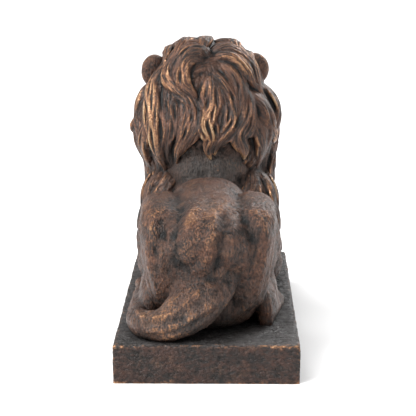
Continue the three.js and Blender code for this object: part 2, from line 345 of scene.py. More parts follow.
def ball(at: Triple, half: Triple, turn: Triple = (0, 0, 0), square: float = 2.0) -> Shell:
    """A rounded mass of muscle or bone.

    Args:
        at: Its middle.
        half: Its half sizes.
        turn: Its turns about X, Y and Z in degrees.
        square: Above 2 fills out its corners.

    Returns:
        The mass.
    """
    over = np.linspace(0, np.pi, 26)[1:-1]
    around = np.linspace(0, 2 * np.pi, 44, endpoint=False)
    direction = np.stack(
        [
            np.sin(over)[:, None] * np.cos(around),
            np.sin(over)[:, None] * np.sin(around),
            np.repeat(np.cos(over)[:, None], len(around), 1),
        ],
        -1,
    )
    direction *= swell(square, *np.moveaxis(direction, -1, 0))[..., None]
    poles = np.array([[0.0, 0.0, 1.0], [0.0, 0.0, -1.0]])
    matrix = turning(turn)

    def placed(p: Array) -> Array:
        """Points of a ball of radius one, sized, turned and moved."""
        return p * half @ matrix.T + at

    return tubes(placed(direction)[None], placed(poles)[None])


# Blocks of space in which shells are joined, cut and softened


def smoothed(values: Array, cells: float, passes: int = 3) -> Array:
    """Values on a grid, blurred evenly in all directions.

    Args:
        values: The grid.
        cells: How far the blur reaches, in cells, as a standard deviation.
        passes: How many plain averages make up the blur.

    Returns:
        The blurred grid.
    """
    reach = max(1, round(math.sqrt(4 * cells * cells + 1) / 2 - 0.5))
    out = values
    for _ in range(passes):
        for axis in range(3):
            pad = [(0, 0)] * 3
            pad[axis] = (reach + 1, reach)
            total = np.cumsum(np.pad(out, pad, mode="edge"), axis=axis, dtype=np.float32)
            width = 2 * reach + 1
            high = np.take(total, np.arange(width, width + out.shape[axis]), axis=axis)
            low = np.take(total, np.arange(out.shape[axis]), axis=axis)
            out = (high - low) / width
    return out


@dataclass
class Block:
    """A box of space cut into cells that hold distances to a surface, negative inside it."""

    low: Triple
    high: Triple
    cell: float
    band: int = 4
    start: Array = field(init=False)
    shape: tuple[int, ...] = field(init=False)

    def __post_init__(self) -> None:
        """Counts the cells."""
        self.start = np.floor(np.array(self.low) / self.cell).astype(int)
        end = np.ceil(np.array(self.high) / self.cell).astype(int)
        self.shape = tuple(int(n) for n in end - self.start + 1)

    def distance(self, shells: Sequence[Shell]) -> Array:
        """The distance to the surface of shells joined together.

        Args:
            shells: The shells, which may pass through each other.

        Returns:
            The distances, held within the band.
        """
        whole = joined(shells)
        grid = openvdb.FloatGrid.createLevelSetFromPolygons(
            whole.points.astype(np.float32),
            triangles=whole.triangles.astype(np.uint32),
            transform=openvdb.createLinearTransform(voxelSize=self.cell),
            halfWidth=self.band,
        )
        values = np.full(self.shape, self.band * self.cell, np.float32)
        grid.copyToArray(values, ijk=tuple(int(i) for i in self.start))
        return values

    def softened(self, values: Array, width: float) -> Array:
        """The same surface with its creases and corners rounded.

        Args:
            values: The distances.
            width: How wide the rounding is, in hundredths.

        Returns:
            The rounded distances.
        """
        return smoothed(values, width / self.cell)

    def melted(self, values: Array, width: float, places: Sequence[tuple[Triple, float]]) -> Array:
        """The surface rounded much more at a few places, where one form flows into another.

        Args:
            values: The distances.
            width: How wide the rounding is there.
            places: The middle and the size of each place.

        Returns:
            The distances.
        """
        soft = self.softened(values, width)
        out = values.copy()
        for at, size in places:
            reach = 2.4 * size
            low = np.floor((np.array(at) - reach) / self.cell).astype(int) - self.start
            high = np.ceil((np.array(at) + reach) / self.cell).astype(int) - self.start
            low, high = np.maximum(low, 0), np.minimum(high, self.shape)
            part = tuple(slice(a, b) for a, b in zip(low, high))
            x, y, z = (np.arange(a, b) for a, b in zip(low, high))
            cells = np.stack(np.meshgrid(x, y, z, indexing="ij"), -1)
            far = np.linalg.norm((cells + self.start) * self.cell - at, axis=-1) / size
            share = np.exp(-(far**2)).astype(np.float32)
            out[part] += share * (soft[part] - values[part])
        return out

    def crowding(self, values: Array, width: float) -> Array:
        """How full the space is near each place, from 0 in the open to 1 deep inside."""
        return smoothed(np.clip(0.5 - values / self.cell, 0, 1), width / self.cell)

    def sampled(self, values: Array, points: Array) -> Array:
        """The grid's values between its cells.

        Args:
            values: A grid of this block.
            points: Where to read it.

        Returns:
            One value for each point.
        """
        at = np.asarray(points) / self.cell - self.start
        at = np.clip(at, 0, np.array(self.shape) - 1.001)
        i = at.astype(int)
        return mixed(i, at - i, values)

    def skin(self, values: Array) -> Shell:
        """The surface where the distance is nothing.

        Args:
            values: The distances.

        Returns:
            The surface as triangles.
        """
        grid = openvdb.FloatGrid(float(self.band * self.cell))
        grid.gridClass = openvdb.GridClass.LEVEL_SET
        grid.copyFromArray(np.ascontiguousarray(values), ijk=tuple(int(i) for i in self.start))
        grid.transform = openvdb.createLinearTransform(voxelSize=self.cell)
        points, triangles, quads = grid.convertToPolygons(isovalue=0.0, adaptivity=0.0)
        faces = np.vstack([triangles.reshape(-1, 3), halved(quads)])
        return Shell(points.astype(float), faces[:, ::-1].astype(np.int64))


def largest(shell: Shell) -> Shell:
    """Only the outer skin of a shell, without the walls of hollows sealed inside it.

    Args:
        shell: The shell.

    Returns:
        Its largest connected skin.
    """
    leader = np.arange(len(shell.points))
    while True:
        low = leader[shell.triangles].min(1)
        before = leader.copy()
        for k in range(3):
            np.minimum.at(leader, shell.triangles[:, k], low)
        leader = leader[leader]
        if np.array_equal(before, leader):
            break
    owner = leader[shell.triangles[:, 0]]
    main = np.bincount(owner).argmax()
    kept = shell.triangles[owner == main]
    used, index = np.unique(kept, return_inverse=True)
    return Shell(shell.points[used], index.reshape(-1, 3))


def normals_of(shell: Shell) -> Array:
    """The outward direction at each point of a shell.

    Args:
        shell: The shell.

    Returns:
        A direction of length one for each point.
    """
    a, b, c = (shell.points[shell.triangles[:, k]] for k in range(3))
    face = np.cross(b - a, c - a)
    total = np.zeros_like(shell.points)
    for k in range(3):
        for axis in range(3):
            total[:, axis] += np.bincount(shell.triangles[:, k], face[:, axis], len(total))
    return unit(total)


@dataclass
class Grain:
    """Repeatable noise in space, for tool marks and uneven surfaces."""

    seed: int
    size: Triple

    def at(self, points: Array) -> Array:
        """The noise at points.

        Args:
            points: Where to read it, in hundredths.

        Returns:
            Values mostly between -1 and 1.
        """
        cells = 48
        random = np.random.default_rng(self.seed)
        lattice = random.uniform(-1, 1, (cells, cells, cells))
        at = np.asarray(points) / self.size
        i = np.floor(at).astype(int)
        w = at - i
        return mixed(i, w * w * (3 - 2 * w), lattice)


# The carving's parts


@dataclass
class Body:
    """Trunk, hind legs, forelegs and tail."""

    trunk: Sequence[Sequence[float]] = (
        (0, 67, 22, 6.5, 8.5),
        (0, 66.2, 22.6, 12.5, 15),
        (0, 64.4, 23.4, 16.8, 19.4),
        (0, 59, 24.2, 19.6, 22.4),
        (0, 44, 24.2, 18.8, 24.6),
        (0, 26, 24.2, 17.2, 26.2),
        (0, 9, 24.4, 17.4, 20.8),
        (0, -8, 25.5, 19.5, 22),
        (0, -28, 26, 17, 24),
    )
    thigh: Sequence[Sequence[float]] = (
        (16, 61.6, 25.4, 5.6, 15),
        (15.1, 56, 26.2, 8.4, 20),
        (14.8, 41, 26.3, 9.3, 21.4),
        (15.8, 29, 22.8, 8.8, 18.6),
        (18.2, 20, 17, 7.8, 13.4),
        (19.2, 13.6, 13, 5, 8),
    )
    tail: Sequence[Sequence[float]] = (
        (-1, 56, 27, 11, 7),
        (0.5, 61.4, 19, 12, 8),
        (4, 66.2, 12.6, 10.4, 8.8),
        (9.4, 69.8, 8.2, 7.8, 7.8),
        (14.6, 71.2, 5.4, 5.9, 6.3),
        (20.4, 67.8, 4.2, 5, 5.5),
        (24.4, 60, 3.6, 4.4, 5),
        (25.6, 48, 3.1, 3.8, 4.2),
        (26.4, 30, 2.6, 3.2, 3.5),
        (26.6, 12, 2.2, 2.7, 2.9),
        (26.8, -2, 2, 2.4, 2.6),
    )
    softness: float = 0.75
    # Where one form flows into the next: how widely, and the middle and the size of each place
    flow_width: float = 2.6
    flowing: Sequence[tuple[Triple, float]] = (
        ((0, 62, 24), 9),
        ((6, 65, 15), 8),
        ((0, 4, 47), 6),
        ((0, 58, 44), 6),
    )
    fold_softness: float = 1.2
    fold_depth: float = 1.5
    last_softness: float = 0.5

    def trunk_shells(self) -> list[Shell]:
        """Barrel, hips, the bony ridge over the rump, and the neck's root.

        Returns:
            The shells, which pass through each other.
        """
        return [
            limb(self.trunk, square=2.6, sides=72, rings=80),
            ball((-1.5, 58, 30.5), (4.5, 10, 16.6)),
            limb(
                [(3.0, 59, 42, 5.2, 5.2), (3.4, 63.5, 36, 5.4, 5.6), (2.4, 63.8, 27, 4, 4.6)],
                up=FORWARD,
                square=3,
            ),
            ball((0.5, -8, 50), (17, 13.8, 16)),
            ball((0, 50, 8), (18, 11.4, 10)),
        ]

    def hind_leg(self) -> list[Shell]:
        """Thigh with its knee, shank, heel and hind paw on the left.

        Returns:
            The shells of the left leg.
        """
        lean = unit(np.array([0.12, 0, 1]))
        return [
            limb(self.thigh, square=3.3, up=lean, sides=56, rings=64),
            limb([(19.6, 18, 8.4, 6.4, 8.4), (20.6, 32, 7, 5.6, 7), (20.6, 46, 6, 4, 6)]),
            limb([(20.4, 48.6, 12, 2.6, 2.6), (21.2, 48.4, 6, 3, 3.6), (21.4, 47, 0, 3, 4)], up=FORWARD),
            limb([(21.4, 47, 2.4, 3, 4.2), (23.2, 36, 2.8, 3.6, 4.2), (24.2, 22, 2.4, 4.6, 4.4)]),
            *self.toes((24.4, 20, 1.4), 2.3, (1.35, 3.4, 3.4)),
        ]

    def foreleg(self) -> list[Shell]:
        """Shoulder, elbow, forearm and forepaw on the left.

        Returns:
            The shells of the left leg.
        """
        return [
            ball((16, -9, 27), (10, 14.5, 20.5), square=2.2),
            limb(
                [
                    (18.5, -2, 22, 8.6, 12),
                    (21, -10, 15, 8.2, 11),
                    (22.8, -18, 8.4, 6.8, 8.4),
                    (23.6, -24, 6, 5.6, 6.6),
                ]
            ),
            limb(
                [
                    (23.4, -18, 5.4, 5.4, 6),
                    (23.2, -27, 5.6, 6.2, 7.2),
                    (21.4, -42, 5.2, 6, 6.6),
                    (19.4, -54, 4.6, 5.6, 5.8),
                    (18.4, -61, 4, 7, 6.2),
                    (18, -67.6, 3.2, 7, 5),
                ]
            ),
            *self.toes((18, -68.4, 2.4), 3.5, (2.0, 4, 4.8)),
        ]

    @staticmethod
    def toes(at: Triple, spread: float, half: Triple) -> list[Shell]:
        """Four toes in a row, the middle two further forward, each with a claw.

        Args:
            at: The middle of the row.
            spread: From one toe to the next.
            half: Half sizes of a toe.

        Returns:
            The toes and claws.
        """
        made = []
        wide, long, high = half
        for k in (-1.5, -0.5, 0.5, 1.5):
            ahead = long * (0.35 if abs(k) < 1 else 0)
            x, y, z = at[0] + k * spread, at[1] - ahead, at[2]
            knuckle = (x, y - long * 0.15, z + high * 0.35)
            tip = y - long
            claw = [
                (x, tip + 1, 1.7, 0.45, 0.7),
                (x, tip - 0.2, 1.3, 0.4, 0.6),
                (x, tip - 1.0, 0.5, 0.2, 0.3),
            ]
            made += [
                ball((x, y, z), half, square=2.3),
                ball(knuckle, (wide * 0.9, long * 0.75, high * 0.62)),
                limb(claw, sides=10, rings=8),
            ]
        return made

    def tail_shells(self) -> list[Shell]:
        """The tail's root, its bend on the plinth, and its tuft of hair.

        Returns:
            The shells, which pass through each other.
        """
        made = [limb(self.tail, up=unit(np.array([0.2, 0.3, 1])), sides=40, rings=110)]
        for k in range(9):
            aside = 2.2 * (chance(k) - 0.5)
            above = 1.0 * (chance(k + 0.5) - 0.3)
            end = -11 - 4.4 * chance(k + 0.25)
            made.append(
                limb(
                    [
                        (26.7 + 0.4 * aside, 5, 2.2 + 0.5 * above, 1.2, 1.3),
                        (27 + 1.6 * aside, -3, 2.7 + above, 1.3, 1.6),
                        (27.2 + 1.3 * aside, -8.5, 2.5 + above, 1.0, 1.3),
                        (27 + 0.3 * aside, end, 1.8, 0.3, 0.4),
                    ],
                    sides=12,
                    rings=20,
                )
            )
        return made

    def hollows(self) -> list[Shell]:
        """The flanks in front of the thighs, and the folds of the legs.

        Returns:
            What is cut out of the body, on both sides.
        """
        flank = [(23.5, 24, 34, 1.4, 3), (22.4, 17, 25, 1.7, 3), (24.4, 10, 17, 1.2, 2.4)]
        fold = [(25.2, 56, 36, 0.8, 2.2), (25.9, 52, 26, 1.1, 2.6), (25.6, 47, 15, 0.7, 1.8)]
        calf = [(25.2, 20, 15, 0.9, 1.2), (26.4, 30, 12.4, 1.2, 1.5), (26.2, 42, 12.6, 0.9, 1.2)]
        arm = [(25.6, -4, 19, 0.9, 2.2), (28.2, -12, 13, 1.3, 2.4), (28.4, -20, 12, 0.9, 1.6)]
        upright = [limb(stations, up=FORWARD, sides=16) for stations in (flank, fold)]
        level = [limb(stations, sides=16) for stations in (calf, arm)]
        return [side for groove in (*upright, *level) for side in both(groove)]

    def carve(self) -> tuple[Block, Array]:
        """The body's surface.

        Returns:
            The block that it is cut from, and the distances in it.
        """
        block = Block((-32, -77, -1.5), (32, 79, 62), COARSE, band=6)
        solid = [*self.trunk_shells(), *self.tail_shells()]
        for half in (*self.hind_leg(), *self.foreleg()):
            solid += both(half)
        values = block.softened(block.distance(solid), self.softness)
        values = block.melted(values, self.flow_width, self.flowing)
        cut = block.softened(block.distance(self.hollows()), self.fold_softness)
        folded = np.maximum(values, np.minimum(-cut, values + self.fold_depth))
        return block, block.softened(folded, self.last_softness)


# Height, width, and the places that each stroke passes over: below nothing it is pressed in
BODY_STROKES = (
    (-1.6, 2.0, (-6.4, 66, 45), (-5.8, 67, 41), (-4.6, 69, 33), (-3, 70, 26)),
    (-0.8, 3.2, (-11, 64, 46), (-12, 67, 38), (-12, 70, 30), (-9, 70, 22)),
    (-1.5, 2.5, (10, 60, 49), (11, 65, 45), (11.2, 67, 40), (10.6, 69, 32), (9.4, 70, 25)),
    (1.4, 1.6, (-3, 67, 44), (-2.3, 67, 40), (-0.8, 69, 34), (1.2, 70, 27)),
    (0.6, 2.2, (5.4, 64, 47), (5.2, 66, 41), (4.6, 68, 34)),
    (-0.9, 2.0, (-16.6, 66, 40), (-17.6, 67, 32), (-17, 67, 25)),
    (-0.6, 2.4, (16, 66, 41), (15.8, 67, 32), (14.6, 67, 23)),
    (0.9, 1.6, (20.4, 64, 44), (19.4, 66, 38), (17.8, 67, 30), (16.6, 67, 24)),
    (0.6, 1.7, (-19.6, 64, 44), (-21.4, 64, 36), (-21.2, 64, 28), (-19.6, 64, 20)),
    (-0.9, 1.1, (-3.4, 72, 17.6), (-5.6, 71, 19.5), (-6.6, 71, 16.4)),
    (-0.6, 0.9, (-8.8, 71, 18.6), (-9.6, 71, 15.6)),
    (0.8, 0.9, (-2, 70, 18), (4, 72, 15.6), (9, 74, 11.6), (14.6, 76, 9.6), (21, 72, 8), (25, 63, 7.6)),
    (-0.5, 0.9, (-2, 71, 15.6), (4, 73, 13), (9, 76, 9.4), (14.6, 77, 7.4), (21, 73, 6)),
    (0.8, 0.8, (-2, 71, 13.6), (3.6, 74, 10.6), (8.6, 77, 7.2), (14.2, 78, 5.4), (20.4, 74, 3.8)),
    (-0.5, 0.9, (-1, 71, 11.4), (4, 74, 8.4), (9, 77, 4.8), (14, 78, 3)),
    (-0.6, 2.4, (-11, 36, 48), (-11.6, 50, 48), (-11, 58, 49)),
    (-0.6, 2.4, (11.4, 36, 48), (11.8, 50, 48), (11, 58, 49)),
    # The ribs, three on each flank
    *(
        (0.35, 1.3, (16 * side, y, z), (19 * side, y - 2, 32), (18.6 * side, y - 5, 22))
        for y, z in ((25, 42), (19.5, 41), (14, 40))
        for side in (1, -1)
    ),
)


@dataclass
class ManeForm:
    """The mane's rounded body, and the way hair lies on it."""

    masses: Sequence[tuple[Triple, Triple]] = (
        ((1.5, -20, 80.2), (19.3, 20.3, 16.9)),
        ((1, -18, 65), (26.4, 20.5, 23.4)),
        ((0.5, -8, 60), (21, 13.5, 15)),
        ((0, -21, 45), (23, 17, 25)),
        ((0.5, -31, 31), (16.5, 15, 23)),
        ((16, -9, 27), (10.2, 14.6, 20.6)),
        ((-16, -9, 27), (10.2, 14.6, 20.6)),
    )
    blend: float = 1.7
    centre: Triple = (1, -18, 60)
    whorl: Triple = (-1, -2, 93)
    face: Triple = (5.5, -38.7, 77)
    face_radius: float = 17
    # How far round the whorl and the face hair lies away from them
    lie_reach: float = 22
    # The bare neck: its top, its half width and its front
    neck_top: float = 61
    neck_half: float = 16
    neck_front: float = -14
    # Where no hair grows: half width, front and top of the withers, front and top of the upper arms
    withers: Triple = (14, -14, 54)
    upper_arms: tuple[float, float] = (-17, 38)
    # The first masses are the mane's own, and the rest are the shoulders, which the body has
    own_masses: int = 5

    def distance(self, p: Array) -> Array:
        """How far points are outside the mane's body, roughly.

        Args:
            p: The points.

        Returns:
            A distance for each, below nothing inside.
        """
        total = 0
        for at, half in self.masses:
            q = p - np.array(at)
            share = np.sqrt(((q / half) ** 2).sum(-1))
            slope = np.sqrt(((q / np.square(half)) ** 2).sum(-1))
            total = total + np.exp(-share * (share - 1) / np.maximum(slope, 1e-9) / self.blend)
        return -np.log(np.maximum(total, 1e-300)) * self.blend

    def normal(self, p: Array) -> Array:
        """The mane's outward direction at points."""
        step = 0.2 * np.eye(3)
        return unit(np.stack([self.distance(p + s) - self.distance(p - s) for s in step], -1))

    def onto(self, p: Array) -> Array:
        """Points moved onto the mane's body."""
        for _ in range(4):
            p = p - self.normal(p) * self.distance(p)[..., None]
        return p

    def lie(self, p: Array, normal: Array) -> Array:
        """The way hair lies: down, away from the whorl at the crown, and away from the face.

        Args:
            p: Points on the mane.
            normal: The outward direction at each.

        Returns:
            A direction along the surface for each.
        """
        from_face = p - np.array(self.face)
        near_face = np.exp(-((np.linalg.norm(from_face, axis=-1) / self.lie_reach) ** 2))[..., None]
        from_whorl = p - np.array(self.whorl)
        near_whorl = np.exp(-((np.linalg.norm(from_whorl, axis=-1) / self.lie_reach) ** 2))[..., None]
        way = -UP + 3 * near_face * unit(from_face * (1, 1, 0.5)) + 4 * near_whorl * unit(from_whorl)
        return unit(way - normal * (way * normal).sum(-1, keepdims=True))

    def bare_neck(self, p: Array) -> Array:
        """How bare the neck is: fully bare low behind the head, where only the large locks reach."""
        below = np.clip((self.neck_top - p[..., 2]) / 5, 0, 1)
        inward = np.clip((self.neck_half - np.abs(p[..., 0])) / 4, 0, 1)
        return below * inward * (p[..., 1] > self.neck_front)

    def hairy(self, p: Array) -> Array:
        """Whether hair grows at points: not on the face, over the withers or on the upper arms.

        Args:
            p: The points.

        Returns:
            True or false for each.
        """
        on_face = np.linalg.norm(p - np.array(self.face), axis=-1) < self.face_radius
        half, front, top = self.withers
        on_withers = (np.abs(p[..., 0]) < half) & (p[..., 1] > front) & (p[..., 2] < top)
        front, top = self.upper_arms
        on_arm = (p[..., 1] > front) & (p[..., 2] < top)
        return ~on_face & ~on_withers & ~on_arm


@dataclass
class Locks:
    """Many locks of hair at once: their lines, with a direction outward at every place."""

    line: Array
    normal: Array
    wide: Array
    thick: Array
    rubbed: Array
    strands: int
    sides: int = 10
    # How far strands stray from even places, end early and wave, as shares of the lock
    stray: float = 0.7
    early: float = 0.22
    wave: float = 0.2
    # The lock's own rounded body, as shares of its half width and its thickness
    core_wide: float = 0.86
    core_thick: float = 0.66
    # How wide all the strands are together, and how high the middle ones lie on the core
    spread: float = 1.5
    arch: float = 0.5

    def chosen(self, which: Array) -> "Locks":
        """Only some of the locks."""
        parts = (self.line, self.normal, self.wide, self.thick, self.rubbed)
        return Locks(*(part[which] for part in parts), self.strands)

    @staticmethod
    def fullness(share: Array) -> Array:
        """How full a lock is along its length: quickly full, then drawn out to a point."""
        return np.sin(np.pi * (0.08 + 0.92 * share) ** 0.8) ** 0.8

    def shell(self) -> Shell:
        """The strands of every lock, side by side, as one shell.

        Returns:
            One shell of tubes.
        """
        count, steps, _ = self.line.shape
        share = np.linspace(0, 1, steps)
        full = self.fullness(share)
        along = unit(np.gradient(self.line, axis=1))
        across = unit(np.cross(along, self.normal))
        outward = unit(np.cross(across, along))
        k = np.arange(self.strands)
        seed = np.arange(count)[:, None] * 17.3 + k
        place = (k + 0.5) / self.strands * 2 - 1
        place = place + self.stray / self.strands * (chance(seed) - 0.5)
        trim = 1 - self.early * chance(seed + 0.4) * np.abs(place)
        turns = 1.1 + 1.3 * chance(seed + 0.7)
        phase = chance(seed + 0.2)[..., None]
        wave = self.wave * np.sin(2 * np.pi * (share * turns[..., None] + phase))
        spot = place[..., None] * 0.88 + wave * np.sin(np.pi * share)
        dome = np.sqrt(np.clip(1 - (place * 0.92) ** 2, 0.05, 1))[..., None]
        body = full * np.clip(1 - (share / trim[..., None]) ** 6, 0, 1)
        size = 0.72 + 0.56 * chance(seed + 0.9)[..., None]
        # The lock's own rounded body comes first, and its strands lie on that
        whole = np.ones((count, 1, 1))
        wide, thick = self.wide[:, None, None], self.thick[:, None, None]
        spot = np.concatenate([0 * whole * share, spot], 1)
        each = self.spread / self.strands
        half = wide * np.concatenate([self.core_wide * whole * full, body * size * each], 1)
        high = thick * np.concatenate([self.core_thick * whole * full, body * dome * (0.26 + 0.2 * size)], 1)
        rise = thick * np.concatenate([0 * whole * full, full * dome * self.arch], 1)
        across, outward = across[:, None], outward[:, None]
        middle = self.line[:, None] + across * (wide * full * spot)[..., None] + outward * rise[..., None]
        angle = np.linspace(0, 2 * np.pi, self.sides, endpoint=False)
        rings = (
            middle[..., None, :]
            + across[..., None, :] * (half[..., None] * np.cos(angle))[..., None]
            + outward[..., None, :] * (high[..., None] * np.sin(angle))[..., None]
        )
        middle = middle.reshape(-1, steps, 3)
        tips = np.stack([middle[:, 0], middle[:, -1]], 1)
        return tubes(rings.reshape(-1, steps, self.sides, 3), tips)


@dataclass
class Lay:
    """Which way the hair runs at every place, read from the lock that covers it."""

    locks: Sequence[Locks]
    trees: list[kdtree.KDTree] = field(init=False)

    def __post_init__(self) -> None:
        """Gathers the places along all the locks."""
        self.trees = [tree_of(locks.line.reshape(-1, 3)) for locks in self.locks]

    def read(self, points: Array) -> tuple[Array, Array]:
        """Each point's place on its lock, and how much gold is rubbed on there.

        Args:
            points: The points.

        Returns:
            Crosswise, lengthwise and which lock, in hundredths, and the share of gold.
        """
        nearest = np.full(len(points), np.inf)
        lay, rubbed = np.zeros((len(points), 3)), np.zeros(len(points))
        for kind, (locks, tree) in enumerate(zip(self.locks, self.trees)):
            if not len(locks.line):
                continue
            found = np.array([tree.find(p)[1:] for p in points])
            steps = locks.line.shape[1]
            lock, step = np.divmod(found[:, 0].astype(int), steps)
            off = found[:, 1] / locks.wide[lock]
            closer = off < nearest
            nearest[closer] = off[closer]
            along = unit(np.gradient(locks.line, axis=1))
            across = unit(np.cross(along, locks.normal))[lock, step]
            gone = np.linalg.norm(np.diff(locks.line, axis=1, prepend=locks.line[:, :1]), axis=-1).cumsum(1)
            aside = ((points - locks.line[lock, step]) * across).sum(1)
            place = np.stack([aside, gone[lock, step], (lock + 100 * kind) * 7.7], 1)
            lay[closer] = place[closer]
            # Gold is rubbed on the fullest part of a lock, and less on its root and its tip
            shine = 0.35 + 0.65 * np.exp(-(((step / (steps - 1) - 0.45) / 0.32) ** 2))
            rubbed[closer] = (locks.rubbed[lock] * shine)[closer]
        return lay, rubbed


@dataclass
class Mane:
    """The mane: rows of locks round it, the large locks behind the head, and fine hair between them."""

    form: ManeForm = field(default_factory=ManeForm)
    steps: int = 26
    thick: float = 3.4
    border: float = -13.0
    # Hair rooted behind the border and over this height lies under the large locks
    nape: float = 50
    # How deep a lock's root sinks, and how much deeper all hair lies on the bare neck
    sunk: float = 1.6
    under_neck: float = 3.4
    # Well outside the mane, so that a root set this far from its centre comes down onto it
    outside: float = 34
    # Degrees from the whorl, the number in a full row, their length and their half width
    rows: Sequence[Sequence[float]] = (
        (6, 6, 30, 4.0),
        (26, 9, 42, 4.2),
        (54, 11, 42, 4.4),
        (88, 12, 40, 4.4),
        (122, 11, 32, 4.2),
        (148, 7, 24, 4.2),
    )

    def flow(self, root: Array, length: Array, sway: Array, phase: Array, lift: Array) -> tuple[Array, Array]:
        """Lines that follow the lie of the hair from their roots.

        Args:
            root: Where each starts, on the mane.
            length: How long each is.
            sway: How far each sways, in radians.
            phase: Where in its sway each starts.
            lift: How far each tip stands over the hair below it.

        Returns:
            The lines, and the outward direction along them.
        """
        line, outward = [], []
        p = self.form.onto(root)
        for i in range(self.steps):
            t = i / (self.steps - 1)
            normal = self.form.normal(p)
            above = lift * t - self.sunk * (1 - t) ** 2 - self.under_neck * self.form.bare_neck(p)
            line.append(p + normal * above[:, None])
            outward.append(normal)
            turn = sway * np.sin(phase + t * 1.6 * np.pi)
            way = turned(self.form.lie(p, normal), normal, turn)
            p = self.form.onto(p + way * (length / (self.steps - 1))[:, None])
        return np.stack(line, 1), np.stack(outward, 1)

    def behind(self, root: Array) -> Array:
        """Whether roots are behind the head, where hair lies under the large locks."""
        return (root[:, 1] > self.border) & (root[:, 2] > self.nape)

    def row_locks(self) -> Locks:
        """The rows of locks that the solid has. Behind the head they lie under the large locks.

        Returns:
            The locks.
        """
        roots, numbers, sizes = [], [], []
        axis = unit(np.array(self.form.whorl) - np.array(self.form.centre))
        for r, (from_whorl, count, length, wide) in enumerate(self.rows):
            for k in range(count):
                n = r * 31 + k
                tilt = np.radians(from_whorl + 8 * (chance(n + 0.5) - 0.5))
                spin = 2 * np.pi * (k + 0.5 * (r % 2) + 0.4 * (chance(n) - 0.5)) / count
                away = turned(turned(axis, ASIDE, tilt), axis, spin)
                roots.append(np.array(self.form.centre) + self.outside * away)
                numbers.append(n)
                uneven = 0.85 + 0.3 * chance(n + np.array([0.25, 0.75]))
                sizes.append((length, wide) * uneven)
        root = self.form.onto(np.array(roots))
        n, size = np.array(numbers), np.array(sizes)
        kept = self.form.hairy(root)
        root, n, size = root[kept], n[kept], size[kept]
        behind = self.behind(root)
        lift = 1.2 + 1.2 * chance(n + 0.6) - 2.6 * behind
        sway, phase = 0.2 + 0.3 * chance(n + 0.1), 2 * np.pi * chance(n + 0.9)
        line, normal = self.flow(root, size[:, 0], sway, phase, lift)
        thick = self.thick * np.where(behind, 0.8, 1.0)
        return Locks(line, normal, size[:, 1], thick, 0.35 + 0.3 * chance(n + 0.33), 5)

    def rooted(self, numbers: Array, away: Array) -> tuple[Array, Array]:
        """The roots of hair on the mane.

        Args:
            numbers: A number for each hair.
            away: Its direction from the mane's centre.

        Returns:
            The numbers and the roots, where hair grows.
        """
        root = self.form.onto(np.array(self.form.centre) + self.outside * away)
        kept = self.form.hairy(root)
        return numbers[kept], root[kept]

    def between_rows(self) -> Locks:
        """Shorter locks that fill the mane between its rows.

        Returns:
            The locks.
        """
        k, root = self.rooted(*directions(150, 1.0))
        behind = self.behind(root)
        lift = 0.9 + 0.6 * chance(k + 0.2) - 1.9 * behind
        line, normal = self.flow(root, 22 + 12 * chance(k), 0.5 * chance(k + 0.3), 6 * chance(k + 0.7), lift)
        wide, thick = 2.5 + 1.0 * chance(k + 0.5), 2.2 + 0.6 * chance(k + 0.1)
        return Locks(line, normal, wide, thick, 0.5 * chance(k + 0.4), 4)

    def large_locks(self) -> Locks:
        """The locks behind the head and over the shoulders, each through a few places on the mane.

        Returns:
            The locks.
        """
        share = np.linspace(0, 1, self.steps)
        wide, thick, rubbed = np.array([row[:3] for row in LARGE_LOCKS]).T
        places = [spline(np.array(row[3:], float), share) for row in LARGE_LOCKS]
        line = self.form.onto(np.array(places))
        normal = self.form.normal(line)
        above = 1.2 * share + 1.3 * np.sin(np.pi * share**0.7) - 1.0 * (1 - share) ** 3
        return Locks(line + normal * above[:, None], normal, wide, thick, rubbed, 9)

    def fine_hair(self) -> Locks:
        """Narrow strands all over the mane's body, which show between the locks.

        Returns:
            The strands, two to a lock.
        """
        k, root = self.rooted(*directions(560))
        even = np.ones(len(k))
        sway, phase = 0.5 * chance(k + 0.3), 6 * chance(k + 0.7)
        line, normal = self.flow(root, 15 + 8 * chance(k), sway, phase, 0.3 * even)
        wide = 1.9 + 0.8 * chance(k + 0.5)
        return Locks(line[:, ::2], normal[:, ::2], wide, 1.5 * even, 0.2 * chance(k), 2)

    def carve(self) -> list[tuple[str, Block, Array, Lay]]:
        """The mane's two pieces: the hair behind the head, and the hair round the face and on the chest.

        Returns:
            For each its name, the block that it is cut from, the distances in it, and how its hair lies.
        """
        hair = [self.large_locks(), self.row_locks(), self.between_rows(), self.fine_hair()]
        masses = [ball(at, half) for at, half in self.form.masses[: self.form.own_masses]]
        made = []
        for name, low, high, way in (
            ("mane_behind_head", (-34, -30, 24), (36, 16, 102), 1),
            ("mane_round_face", (-34, -62, 2), (36, 6, 102), -1),
        ):
            block = Block(low, high, FINE)
            core = block.softened(block.distance(masses), 1.4)
            # Each piece keeps its own side of the mane's body, and sinks under the other's
            y = (np.arange(block.shape[1]) + block.start[1]) * block.cell
            past = (self.border - y)[None, :, None] * way
            sunk = np.clip(past + 1.5, 0, 3) * 0.4
            overlap = 10
            core = np.maximum(core + sunk, past - overlap).astype(np.float32)
            own = [locks.chosen((locks.line[:, :, 1].mean(1) - self.border) * way > 0) for locks in hair]
            tresses = block.distance([locks.shell() for locks in own])
            made.append((name, block, smoothed(np.minimum(core, tresses), 0.5, passes=1), Lay(own)))
        return made


